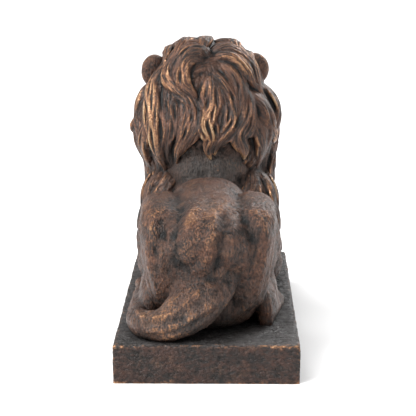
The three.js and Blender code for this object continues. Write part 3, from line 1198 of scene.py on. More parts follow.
# Half width, thickness, how much gold is rubbed on, and places that each lock passes through
LARGE_LOCKS = (
    (5.2, 5.4, 0.95, (17.5, -13.5, 88), (20, -9.5, 79.5), (19.5, -4, 71), (18.5, -0.5, 62), (18, -1, 54),
     (17.4, -5, 47)),
    (3.2, 2.4, 0.5, (-2.6, -0.5, 84), (-4, 1, 78), (-4.6, 2.5, 72), (-4, 4.5, 66), (-3.2, 5, 60)),
    (3.8, 3.1, 0.6, (3, -5, 92.5), (7.5, -4.5, 91), (9.5, -2.5, 87), (9, -1, 82), (6, 0.5, 79),
     (3.6, 1.5, 73.5)),
    (3.8, 2.7, 0.9, (10.5, -8.5, 93), (14.5, -8.5, 89.5), (15, -5.5, 84.5), (11, -1.5, 80),
     (7.5, 0.5, 76), (6.5, 2.5, 70)),
    (4.1, 2.9, 0.75, (12, -2.5, 82), (8.5, 0, 76.5), (7, 2.5, 71), (8.5, 4.5, 64), (11.5, 3.5, 57.5),
     (12.8, 1, 51.5)),
    (3.3, 2.5, 0.4, (5, 1.5, 76), (4, 3, 70.5), (5, 5, 65.5), (8, 5, 60.5), (11.5, 3, 54.5)),
    (4.6, 3.8, 0.95, (-0.5, -0.5, 85.5), (-0.5, 1, 79.5), (-0.5, 2.5, 73), (1, 4.5, 67), (-0.5, 5.5, 62),
     (0.5, 5.5, 58.5), (-1, 4.5, 53)),
    (4.4, 3.2, 0.55, (-2, -1, 86.5), (-5.5, -0.5, 81), (-8, 0, 74.5), (-8.5, 3, 68), (-5.5, 5, 63.5),
     (-2.5, 5.5, 59.5), (-2, 5, 55)),
    (4.1, 2.9, 0.45, (-5, -5, 91), (-9.5, -3.5, 85), (-11, -2, 76.5), (-10.5, 1, 70), (-8.5, 4, 65.5),
     (-4.5, 5.5, 61)),
    (4.9, 3.2, 0.35, (-10.5, -3.5, 83.5), (-13.5, -3.5, 76.5), (-13.5, 0.5, 68), (-11, 3.5, 62.5),
     (-13, 2.5, 57.5), (-13, 1, 53)),
    (3.6, 3.1, 0.55, (-3, -7, 94), (-8, -7.5, 92), (-12.5, -8, 87), (-15.5, -8.5, 82),
     (-19.5, -11.5, 77.5)),
    (3.8, 2.9, 0.9, (-6, -13, 96), (-12.5, -14.5, 92), (-15.5, -13, 87), (-18, -10.5, 80),
     (-21, -10.5, 74)),
    (4.6, 3.1, 0.25, (-15, -5.5, 80), (-20, -7.5, 72.5), (-21, -6, 65.5), (-20.5, -4, 58), (-20.5, -6, 50)),
    (4.9, 2.7, 0.3, (-21, -20, 83.5), (-24, -19, 77.5), (-27, -18.5, 72), (-27, -17, 65.5),
     (-28, -17.5, 59)),
    (3.6, 2.9, 0.55, (-18.5, -3.5, 71), (-20.5, -5.5, 66), (-23.5, -10.5, 62), (-28, -17, 56)),
    (4.4, 2.7, 0.25, (-16, -3, 71.5), (-18, -1.5, 64.5), (-19, -2.5, 57.5), (-18.5, -9.5, 46)),
    (4.4, 2.7, 0.25, (-27, -17, 60), (-25, -20, 52.5), (-24, -16.5, 46), (-24, -20.5, 38)),
    (4.6, 2.9, 0.6, (21, -14.5, 82.5), (25.5, -18, 79), (29, -17.5, 74.5), (30, -17, 68), (29, -16.5, 61)),
    (4.6, 2.7, 0.5, (27.5, -17.5, 70.5), (29, -17, 63), (29, -17, 55), (28.5, -19, 47.5), (26, -19.5, 38)),
    (4.4, 2.7, 0.5, (22.5, -8, 73.5), (23, -6, 65.5), (24, -9.5, 57.5), (23.5, -15.5, 48.5),
     (24.5, -19.5, 38)),
    (4.4, 3.0, 0.4, (14.8, -6, 84), (15, -4, 78), (14.4, -1.5, 71), (14, 1.5, 65), (15.5, 1.5, 58.5),
     (15.5, -0.5, 52)),
    (3.4, 3.4, 0.45, (9, -28, 97), (9.6, -21, 98.5), (10.4, -14, 97), (12.5, -9, 92), (13.5, -6, 87)),
    (3.6, 3.4, 0.4, (1.6, -28, 99), (1.6, -20, 99.5), (1.8, -12, 98), (2.6, -7, 94)),
    (3.4, 3.4, 0.4, (-9.6, -28, 97.5), (-9.9, -20, 98), (-10.8, -13, 95), (-13, -9, 90)),
    (2.6, 3.2, 0.35, (15.5, -27, 93), (16.4, -20, 94.5), (17, -14, 92), (17.6, -10, 87)),
    (2.6, 3.0, 0.3, (-15.4, -27, 93), (-16.4, -20, 93.5), (-17.2, -14, 90), (-18, -11, 85)),
    (4.6, 2.3, 0.5, (2, -22, 98), (7.5, -21.5, 98), (13, -21.5, 97), (17, -19, 93), (18.5, -14, 88)),
    (4.1, 2.5, 0.45, (1, -8.5, 95.5), (5.5, -12.5, 96), (10.5, -11, 94.5), (14.5, -8.5, 89.5),
     (15, -6, 84)),
    (3.8, 2.7, 0.5, (0.5, -7, 94.5), (3, -8, 95), (7, -7.5, 94), (10.5, -5, 90), (11, -2.5, 84),
     (8.5, 0, 78)),
    (4.6, 2.3, 0.45, (-1, -22, 98), (-6, -22, 98), (-10.5, -22.5, 96.5), (-14.5, -21, 93), (-18, -20, 88)),
    (4.1, 2.5, 0.45, (-1, -10.5, 95.5), (-6.5, -12.5, 95.5), (-11.5, -13.5, 93), (-14.5, -13, 89),
     (-17, -12, 83)),
    (1.3, 3.8, 0.5, (26.5, -14.5, 67.5), (27.8, -15, 65.5), (29.6, -16, 63.4), (31.2, -17, 61.2),
     (31.0, -17.5, 59)),
    (3.4, 1.6, 0.3, (-26, -16, 50), (-25, -12, 43), (-24.6, -10, 36), (-23.5, -8, 30)),
    (3.2, 1.6, 0.3, (26, -15, 52), (25.4, -11.5, 44), (24.8, -10, 37), (24, -9, 30)),
    (3.0, 1.5, 0.25, (-22.5, -9, 50), (-22, -4.5, 42), (-21.5, -2.5, 35), (-20, -2, 29)),
    (3.0, 1.5, 0.25, (22.5, -8, 50), (22, -4, 42), (21.4, -2.2, 35), (20, -2, 29)),
)


@dataclass
class Head:
    """Skull, face and ears, carved in the head's own frame with the face towards -Y."""

    at: Triple = (3, -27, 80)
    yaw: float = 12
    pitch: float = 9
    # How wide the rounding of the skull, of the eye sockets and of the fine forms is
    skull_softness: float = 1.1
    socket_softness: float = 0.7
    fine_softness: float = 0.3

    def placed(self, shell: Shell) -> Shell:
        """A shell moved from the head's frame to its place on the neck."""
        matrix = turning((0, 0, self.yaw)) @ turning((self.pitch, 0, 0))
        return Shell(shell.points @ matrix.T + self.at, shell.triangles)

    def skull(self) -> list[Shell]:
        """Skull, forehead, brows, cheeks, muzzle, jaw and the bridge of the nose.

        Returns:
            The shells, in the head's frame.
        """
        cheek = ball((8.0, -5.2, -3.2), (5.4, 7.6, 9.4))
        pad = ball((3.7, -22.8, -8.2), (4.2, 5.0, 4.4), (0, 0, -12))
        brow = limb([(2.2, -16.0, 6.8, 1.6, 1.5), (5.6, -15.8, 7.9, 1.8, 1.5), (9.6, -12.0, 6.6, 1.8, 1.5)])
        muzzle = [
            (0, -8, -4.2, 9, 9),
            (0, -15, -5, 7.4, 7.6),
            (0, -21, -5.8, 6.2, 6.6),
            (0, -23.6, -6, 5, 5.6),
        ]
        bridge = [
            (0, -6, 9.6, 6.4, 4),
            (0, -13, 5.8, 4.5, 3.4),
            (0, -19.5, 2.7, 3.9, 3.0),
            (0, -25.0, -0.4, 3.8, 2.3),
        ]
        jaw = [(0, -3, -11, 10, 6.5), (0, -13, -13.4, 7.2, 5.4), (0, -21.4, -14.4, 4.8, 4.4)]
        return [
            ball((0, 0, 0.5), (13.4, 13, 12.5)),
            ball((0, -7.4, 5), (10, 8.4, 7.2), square=2.5),
            limb(muzzle, square=2.6),
            limb(jaw, square=2.4),
            ball((0, -22.6, -15), (3.8, 3.0, 3.0)),
            limb(bridge, square=3),
            *both(cheek),
            *both(pad),
            *both(brow),
        ]

    def fine_forms(self) -> list[Shell]:
        """The nose's leather, eyeballs with their lids, the lips, and the chin's beard.

        Returns:
            The shells, in the head's frame.
        """
        eye = ball((6.2, -14.9, 3.8), (2.2, 1.9, 1.8))
        upper = [
            (3.3, -16.6, 3.5, 0.5, 0.5),
            (5.3, -17.1, 5.5, 0.7, 0.6),
            (8.2, -15.6, 5.2, 0.6, 0.6),
            (9.7, -13.4, 3.4, 0.4, 0.4),
        ]
        lower = [
            (3.3, -16.6, 3.3, 0.45, 0.45),
            (6.0, -16.8, 1.8, 0.6, 0.5),
            (8.6, -15.1, 2.4, 0.5, 0.5),
            (9.7, -13.4, 3.2, 0.4, 0.4),
        ]
        lip = [(1.2, -25.2, -13.0, 0.7, 0.6), (4.4, -22.6, -13.6, 0.8, 0.7), (7.2, -16.4, -12.0, 0.7, 0.6)]
        made = [
            ball((0, -26.0, -1.7), (4.3, 2.4, 2.4), (16, 0, 0), square=2.8),
            ball((0, -26.6, -4.0), (2.3, 1.7, 2.0)),
            *both(eye),
        ]
        for stations in (upper, lower, lip):
            made += both(limb(stations, sides=12))
        for x in (-3.6, -2.4, -1.2, 0, 1.2, 2.4, 3.6):
            strand = [
                (x, -21.4 + 0.25 * abs(x), -14.6, 1.3, 1.3),
                (0.95 * x, -22.4 + 0.3 * abs(x), -17.4, 1.2, 1.2),
                (0.6 * x, -21.4, -21.8 + 0.5 * abs(x), 0.3, 0.3),
            ]
            made.append(limb(strand, sides=12, rings=16))
        return made

    def sockets(self) -> list[Shell]:
        """The hollows that the eyes lie in, and the ones beside the bridge of the nose."""
        made = both(ball((6.4, -17.4, 3.9), (3.4, 2.3, 2.3), (0, 10, -28)))
        return made + both(ball((6.6, -19.6, -0.6), (1.5, 4.2, 1.6), (-24, 0, 0)))

    def cuts(self) -> list[Shell]:
        """Pupils, nostrils, the cleft under the nose, the mouth and the whisker pits.

        Returns:
            What is cut out of the face, in the head's frame.
        """
        pupil = ball((6.2, -16.9, 3.9), (0.75, 0.6, 0.75))
        nostril = [(1.2, -28.6, -3.2, 0.7, 0.8), (2.7, -28.2, -2.8, 1.1, 1.0), (4.3, -26.4, -1.5, 0.7, 0.7)]
        cleft = [(0, -28.6, -4.4, 0.45, 0.7), (0, -27.9, -7.6, 0.55, 1.1), (0, -26.8, -11.6, 0.6, 1.1)]
        furrow = [(0, -13.4, 10.2, 0.5, 0.8), (0, -10, 12.2, 0.5, 0.9), (0, -5, 13.6, 0.3, 0.6)]
        mouth = [
            (0, -27.4, -12.0, 0.9, 0.6),
            (3.4, -26.8, -12.9, 1.1, 0.7),
            (6.8, -21.4, -12.8, 1.1, 0.6),
            (8.8, -14.6, -10.2, 0.8, 0.5),
        ]
        pits = [
            ball((4.6 + 1.5 * col, -27.4 + 1.3 * col, -6.4 - 1.7 * row), (0.45, 0.8, 0.45))
            for row in range(3)
            for col in range(3)
        ]
        made = [limb(cleft, up=FORWARD, sides=10), limb(furrow, sides=10)]
        for half in (pupil, limb(nostril, sides=12), limb(mouth, sides=12), *pits):
            made += both(half)
        return made

    def ears(self) -> tuple[list[Shell], list[Shell]]:
        """Round ears and the cups in them.

        Returns:
            The ears with their hair, and the cups that are cut out of them.
        """
        shells, cups = [], []
        for side in (1, -1):
            lean = (-8, 16 * side, 22 * side)
            shells.append(limb([(9 * side, 4, 4, 5, 5), (19 * side, 5, 5, 3.4, 2.6)], sides=20, rings=12))
            shells.append(ball((20.2 * side, 5, 5.2), (6.2, 3.2, 6.8), lean))
            cups.append(ball((20.7 * side, 1.6, 5.4), (4.2, 3, 4.6), lean))
            for k in range(5):
                x = (18.2 + 1.1 * k) * side
                hair = [
                    (x, 3.2, 1.6, 0.7, 0.7),
                    (x + 0.3 * side, 1.4, 4.4, 0.8, 0.7),
                    (x + 0.8 * side, 0.9, 8 + chance(k), 0.2, 0.2),
                ]
                shells.append(limb(hair, sides=8, rings=12))
        return shells, cups

    def carve(self) -> tuple[Block, Array]:
        """The head's surface.

        Returns:
            The block that it is cut from, and the distances in it.
        """
        block = Block((-24, -60, 52), (31, -8, 101), FINE)
        form, socket, fine, cut, ears, cups = (
            block.distance([self.placed(shell) for shell in shells])
            for shells in (self.skull(), self.sockets(), self.fine_forms(), self.cuts(), *self.ears())
        )
        skull = block.softened(form, self.skull_softness)
        form = block.softened(np.maximum(skull, -socket), self.socket_softness)
        face = np.maximum(block.softened(np.minimum(form, fine), self.fine_softness), -cut)
        ear = np.maximum(ears, -cups)
        return block, block.softened(np.minimum(face, ear), self.fine_softness)


@dataclass
class Surroundings:
    """How much of the space round a place is filled by all the pieces together."""

    block: Block
    shells: Sequence[Shell]
    width: float = 3.6
    crowded: Array = field(init=False)

    def __post_init__(self) -> None:
        """Fills what each shell encloses."""
        filled = np.zeros(self.block.shape, np.float32)
        for shell in self.shells:
            inside = self.block.distance([shell])
            filled = np.maximum(filled, np.clip(0.5 - inside / self.block.cell, 0, 1))
        self.crowded = smoothed(filled, self.width / self.block.cell)

    def openness(self, points: Array) -> Array:
        """How far places stand out of what is round them, from -1 in a pit to 1 on a peak."""
        return 1 - 2 * self.block.sampled(self.crowded, points)


# Blender objects


def metres(points: Array) -> Array:
    """Points from hundredths over the plinth's top to metres in the statue's frame."""
    return points * HUNDREDTH + (0, 0, PLINTH_HEIGHT)


def object_of(name: str, points: Array, faces: Array) -> bpy.types.Object:
    """A Blender object with a smooth mesh.

    Args:
        name: The piece's name.
        points: Its corners, in metres.
        faces: Its triangles or quads.

    Returns:
        The object, linked into the scene.
    """
    mesh = bpy.data.meshes.new(name)
    mesh.vertices.add(len(points))
    mesh.vertices.foreach_set("co", np.ascontiguousarray(points, np.float32).ravel())
    mesh.loops.add(faces.size)
    mesh.loops.foreach_set("vertex_index", np.ascontiguousarray(faces, np.int32).ravel())
    mesh.polygons.add(len(faces))
    mesh.polygons.foreach_set("loop_start", np.arange(0, faces.size, faces.shape[1], dtype=np.int32))
    mesh.update(calc_edges=True)
    mesh.validate()
    mesh.shade_smooth()
    made = bpy.data.objects.new(name, mesh)
    bpy.context.scene.collection.objects.link(made)
    return made


def thinned(name: str, shell: Shell, most: int) -> Shell:
    """A shell with no more triangles than a limit, with fewer where it is flat.

    Args:
        name: A name for the helper object.
        shell: The shell.
        most: The most triangles.

    Returns:
        The thinned shell.
    """
    if len(shell.triangles) <= most:
        return shell
    helper = object_of(name + "_block", shell.points, shell.triangles)
    modifier = helper.modifiers.new("thin", "DECIMATE")
    modifier.ratio = most / len(shell.triangles)
    modifier.use_collapse_triangulate = True
    graph = bpy.context.evaluated_depsgraph_get()
    mesh = bpy.data.meshes.new_from_object(helper.evaluated_get(graph), depsgraph=graph)
    mesh.calc_loop_triangles()
    points = np.empty(len(mesh.vertices) * 3, np.float32)
    mesh.vertices.foreach_get("co", points)
    triangles = np.empty(len(mesh.loop_triangles) * 3, np.int32)
    mesh.loop_triangles.foreach_get("vertices", triangles)
    source = helper.data
    bpy.data.objects.remove(helper)
    bpy.data.meshes.remove(source)
    bpy.data.meshes.remove(mesh)
    return Shell(points.reshape(-1, 3).astype(float), triangles.reshape(-1, 3).astype(np.int64))


def store(target: bpy.types.Object, name: str, values: Array) -> None:
    """Writes a value or a vector for each corner of a piece, for its finish to read.

    Args:
        target: The piece.
        name: The attribute's name.
        values: One value or one vector for each corner.
    """
    kind, key = ("FLOAT", "value") if values.ndim == 1 else ("FLOAT_VECTOR", "vector")
    layer = target.data.attributes.new(name, kind, "POINT")
    layer.data.foreach_set(key, np.ascontiguousarray(values, np.float32).ravel())


def in_place(piece: bpy.types.Object) -> bpy.types.Object:
    """Puts a piece in place of the statue's solid, which it hides, and makes it ride on its body.

    Args:
        piece: The piece.

    Returns:
        The same piece.
    """
    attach(piece, "root")
    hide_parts(STATUE_NODE)
    log.info("%s: %d triangles", piece.name, sum(len(p.vertices) - 2 for p in piece.data.polygons))
    return piece


@dataclass
class Carving:
    """One piece as cut from its block, thinned to its share of triangles."""

    name: str
    block: Block
    values: Array
    most: int
    hair: Lay | None = None
    shell: Shell = field(init=False)

    def __post_init__(self) -> None:
        """Takes the outer skin and thins it."""
        self.shell = thinned(self.name, largest(self.block.skin(self.values)), self.most)

    def standing_out(self, width: float) -> Array:
        """How far each corner stands out of the piece close by, from -1 in a pit to 1 on a peak."""
        return 1 - 2 * self.block.sampled(self.block.crowding(self.values, width), self.shell.points)

    def raise_by(self, height: Array) -> None:
        """Moves each corner outward, or inward where the height is below nothing."""
        self.shell.points = self.shell.points + normals_of(self.shell) * height[:, None]


# Finishes


class Graph:
    """A short way to lay out shader nodes."""

    def __init__(self, tree: bpy.types.NodeTree) -> None:
        """Works on one node tree."""
        self.tree = tree

    def node(self, kind: str, **settings: object) -> bpy.types.Node:
        """A new node with its settings.

        Args:
            kind: The type of node.
            settings: Its properties by name.

        Returns:
            The node.
        """
        made = self.tree.nodes.new(kind)
        for key, value in settings.items():
            setattr(made, key, value)
        return made

    def feed(self, socket: bpy.types.NodeSocket, source: object) -> None:
        """Links an output to a socket, or sets the socket's own value.

        Args:
            socket: The socket to feed.
            source: An output, or a plain value.
        """
        if isinstance(source, bpy.types.NodeSocket):
            self.tree.links.new(source, socket)
        else:
            socket.default_value = source

    def maths(self, operation: str, *terms: object) -> bpy.types.NodeSocket:
        """The result of one step of arithmetic.

        Args:
            operation: What is done.
            terms: Outputs or plain numbers.

        Returns:
            The result.
        """
        made = self.node("ShaderNodeMath", operation=operation)
        for socket, term in zip(made.inputs, terms):
            self.feed(socket, term)
        return made.outputs[0]

    def span(
        self, value: object, low: float, high: float, start: float = 0.0, end: float = 1.0
    ) -> bpy.types.NodeSocket:
        """A value spread smoothly from one range to another.

        Args:
            value: The value.
            low: Where the first range starts.
            high: Where it ends.
            start: Where the second range starts.
            end: Where it ends.

        Returns:
            The spread value.
        """
        made = self.node("ShaderNodeMapRange", interpolation_type="SMOOTHSTEP")
        for socket, source in zip(made.inputs, (value, low, high, start, end)):
            self.feed(socket, source)
        return made.outputs["Result"]

    def noise(
        self, vector: object, scale: float, detail: float = 4.0, rough: float = 0.55
    ) -> bpy.types.NodeSocket:
        """Fractal noise at a place.

        Args:
            vector: The place.
            scale: How fine it is.
            detail: How many finer layers it has.
            rough: How strong those are.

        Returns:
            A value from 0 to 1.
        """
        made = self.node("ShaderNodeTexNoise")
        self.feed(made.inputs["Vector"], vector)
        self.feed(made.inputs["Scale"], scale)
        self.feed(made.inputs["Detail"], detail)
        self.feed(made.inputs["Roughness"], rough)
        return made.outputs["Fac"]

    def stretched(self, vector: object, scale: Triple) -> bpy.types.NodeSocket:
        """A place with each axis at its own scale.

        Args:
            vector: The place.
            scale: A factor for each axis.

        Returns:
            The scaled place.
        """
        made = self.node("ShaderNodeMapping")
        self.feed(made.inputs["Vector"], vector)
        made.inputs["Scale"].default_value = scale
        return made.outputs["Vector"]

    def blend(self, share: object, a: object, b: object) -> bpy.types.NodeSocket:
        """One colour laid over another by a share.

        Args:
            share: How much of the second colour shows.
            a: The first colour.
            b: The second colour.

        Returns:
            The mixed colour.
        """
        made = self.node("ShaderNodeMix", data_type="RGBA", blend_type="MIX")
        self.feed(made.inputs["Factor"], share)
        colours = [s for s in made.inputs if s.type == "RGBA"]
        self.feed(colours[0], a)
        self.feed(colours[1], b)
        return next(s for s in made.outputs if s.type == "RGBA")


class GroupMaker:
    """Builds a shared effect with named inputs and outputs."""

    def __init__(self, name: str, inputs: dict[str, tuple[str, object]], outputs: dict[str, str]) -> None:
        """Makes the group's sockets.

        Args:
            name: The group's name.
            inputs: The kind and the value of each input.
            outputs: The kind of each output.
        """
        self.tree = bpy.data.node_groups.new(name, "ShaderNodeTree")
        for key, (kind, value) in inputs.items():
            socket = self.tree.interface.new_socket(key, in_out="INPUT", socket_type=kind)
            if value is not None:
                socket.default_value = value
        for key, kind in outputs.items():
            self.tree.interface.new_socket(key, in_out="OUTPUT", socket_type=kind)
        self.graph = Graph(self.tree)
        self.given = self.graph.node("NodeGroupInput").outputs
        self.result = self.graph.node("NodeGroupOutput").inputs


FLOAT, VECTOR = "NodeSocketFloat", "NodeSocketVector"


def wash_and_shade_group() -> bpy.types.NodeTree:
    """Dark wash that gathers in fine hollows, and painted shade where the forms crowd round a place.

    Returns:
        A group from Near, Far and Place to Mask.
    """
    maker = GroupMaker(
        "wash_and_painted_shade",
        {"Near": (FLOAT, 0.0), "Far": (FLOAT, 0.0), "Place": (VECTOR, None)},
        {"Mask": FLOAT},
    )
    g = maker.graph
    uneven = g.span(g.noise(maker.given["Place"], 90.0, 3.0), 0.3, 0.7, -0.1, 0.1)
    near = g.maths("ADD", maker.given["Near"], uneven)
    # Near is the fine scale: the wash that gathers in small hollows
    close = g.span(near, -0.3, 0.04, 1.0, 0.0)
    # Far is the larger scale: low where the forms crowd round a place, and painted there as shade
    wide = g.span(g.maths("ADD", maker.given["Far"], uneven), -0.55, 0.05, 0.8, 0.0)
    g.feed(maker.result["Mask"], g.maths("MAXIMUM", close, wide))
    return maker.tree


def rub_group() -> bpy.types.NodeTree:
    """Copper and then gold rubbed over high places, broken up as a dry brush leaves it.

    Returns:
        A group from Near, Far, Place, Streak and Amount to Mask and Bright.
    """
    maker = GroupMaker(
        "rubbed_high_places",
        {
            "Near": (FLOAT, 0.0),
            "Far": (FLOAT, 0.0),
            "Place": (VECTOR, None),
            "Streak": (FLOAT, 0.5),
            "Amount": (FLOAT, 0.5),
        },
        {"Mask": FLOAT, "Bright": FLOAT},
    )
    g = maker.graph
    given = maker.given
    brush = g.maths("ADD", given["Streak"], g.noise(given["Place"], 380.0, 3.0, 0.7))
    score = g.maths("MULTIPLY_ADD", given["Near"], 1.5, -1.45)
    score = g.maths("MULTIPLY_ADD", given["Far"], 0.3, score)
    score = g.maths("MULTIPLY_ADD", given["Amount"], 0.55, score)
    score = g.maths("MULTIPLY_ADD", brush, 1.1, score)
    score = g.maths("MULTIPLY_ADD", g.noise(given["Place"], 24.0, 3.0), 0.7, score)
    g.feed(maker.result["Mask"], g.span(score, 0.46, 0.98))
    g.feed(maker.result["Bright"], g.span(score, 0.76, 1.24))
    return maker.tree


def scratch_group() -> bpy.types.NodeTree:
    """Fine scratches and pits left by the carver's tools in the model.

    Returns:
        A group from Place and Grooves to Height and Streak.
    """
    maker = GroupMaker(
        "tool_scratches",
        {"Place": (VECTOR, None), "Grooves": (VECTOR, None)},
        {"Height": FLOAT, "Streak": FLOAT},
    )
    g = maker.graph
    streak = g.noise(maker.given["Grooves"], 1.0, 3.0, 0.6)
    pits = g.span(g.noise(maker.given["Place"], 520.0, 3.0, 0.65), 0.28, 0.46)
    lumps = g.noise(maker.given["Place"], 120.0, 3.0)
    height = g.maths("ADD", g.maths("MULTIPLY", streak, 0.8), g.maths("MULTIPLY", pits, 0.35))
    g.feed(maker.result["Height"], g.maths("ADD", height, g.maths("MULTIPLY", lumps, 0.5)))
    g.feed(maker.result["Streak"], streak)
    return maker.tree


@dataclass(frozen=True)
class AgedBronze:
    """Resin painted as aged bronze: dark in the hollows, copper brown on the body, gold where rubbed, with
    painted shade where the forms crowd each other and a painted grey sheen.
    """

    name: str
    body: Triple = (0.084, 0.037, 0.022)
    second: Triple = (0.029, 0.020, 0.017)
    # The painted grey sheen: the haze that bright surroundings leave on dark bronze
    grey_sheen_colour: Triple = (0.066, 0.062, 0.058)
    # The darkest colour: wash in fine hollows and streaks, and painted shade where forms crowd each other
    wash_and_shade: Triple = (0.005, 0.0048, 0.0046)
    copper: Triple = (0.31, 0.155, 0.082)
    gold: Triple = (0.44, 0.30, 0.18)
    relief: float = 1.0
    depth: float = 0.003
    dirt: float = 0.5
    bare: float = 0.6
    # Worn patches are this share of the copper, and warm streaks this many times the body's colour
    worn_tone: float = 0.6
    warm_tone: float = 1.9
    grooves: Triple = (520, 520, 260)
    along_hair: bool = False

    def material(self, groups: dict[str, bpy.types.NodeTree]) -> bpy.types.Material:
        """The finish as a material.

        Args:
            groups: The shared effects by name.

        Returns:
            The material.
        """
        made = bpy.data.materials.new(self.name)
        made.use_nodes = True
        made.node_tree.nodes.clear()
        g = Graph(made.node_tree)
        place = g.node("ShaderNodeTexCoord").outputs["Object"]
        near, far, shine, grey_sheen = (self.read(g, name)["Fac"] for name in ("near", "far", "shine", "grey_sheen"))
        source = self.read(g, "lay")["Vector"] if self.along_hair else place
        grooves = g.stretched(source, self.grooves)
        scratches = self.placed(g, groups["scratches"], Place=place, Grooves=grooves)
        streak = scratches["Streak"]
        wash_and_shade = self.placed(g, groups["wash_and_shade"], Near=near, Far=far, Place=place)["Mask"]
        rub = self.placed(g, groups["rub"], Near=near, Far=far, Place=place, Streak=streak, Amount=shine)
        rubbed = rub["Mask"]
        mottle = g.span(g.noise(place, 34.0, 7.0, 0.7), 0.42, 0.58)
        colour = g.blend(mottle, (*self.second, 1), (*self.body, 1))
        bare = g.span(g.noise(place, 75.0, 6.0, 0.72), 0.53, 0.66, 0.0, self.bare)
        colour = g.blend(bare, colour, (*(self.worn_tone * c for c in self.copper), 1))
        warm = g.maths("MULTIPLY", g.span(streak, 0.42, 0.64), 0.5)
        colour = g.blend(warm, colour, (*(self.warm_tone * c for c in self.body), 1))
        # Painted sheen: a grey haze over the neck, the back and the plinth's top
        colour = g.blend(grey_sheen, colour, (*self.grey_sheen_colour, 1))
        dark = g.maths("MULTIPLY", g.span(streak, 0.36, 0.5, 1.0, 0.0), self.dirt)
        # The dark colour goes where wash and dirt lie, and as painted shade where forms crowd each other
        colour = g.blend(g.maths("MAXIMUM", wash_and_shade, dark), colour, (*self.wash_and_shade, 1))
        colour = g.blend(rubbed, colour, (*self.copper, 1))
        colour = g.blend(rub["Bright"], colour, (*self.gold, 1))
        rough = g.span(g.noise(place, 60.0, 4.0), 0.3, 0.7, 0.36, 0.54)
        rough = g.maths("SUBTRACT", rough, g.maths("MULTIPLY", rubbed, 0.1))
        bump = g.node("ShaderNodeBump")
        bump.inputs["Strength"].default_value = self.relief
        bump.inputs["Distance"].default_value = self.depth
        g.feed(bump.inputs["Height"], scratches["Height"])
        shader = g.node("ShaderNodeBsdfPrincipled")
        g.feed(shader.inputs["Base Color"], colour)
        g.feed(shader.inputs["Roughness"], rough)
        g.feed(shader.inputs["Metallic"], g.span(rubbed, 0.0, 1.0, 0.3, 0.85))
        g.feed(shader.inputs["Normal"], bump.outputs["Normal"])
        output = g.node("ShaderNodeOutputMaterial")
        g.feed(output.inputs["Surface"], shader.outputs["BSDF"])
        return made

    @staticmethod
    def read(g: Graph, name: str) -> bpy.types.bpy_prop_collection:
        """What is stored at a piece's corners under a name."""
        return g.node("ShaderNodeAttribute", attribute_name=name).outputs

    @staticmethod
    def placed(g: Graph, tree: bpy.types.NodeTree, **values: object) -> bpy.types.bpy_prop_collection:
        """A shared effect placed in a material with its own values.

        Args:
            g: The material's graph.
            tree: The effect.
            values: What its inputs are fed.

        Returns:
            The effect's outputs.
        """
        made = g.node("ShaderNodeGroup", node_tree=tree)
        for key, value in values.items():
            g.feed(made.inputs[key], value)
        return made.outputs


# Pieces


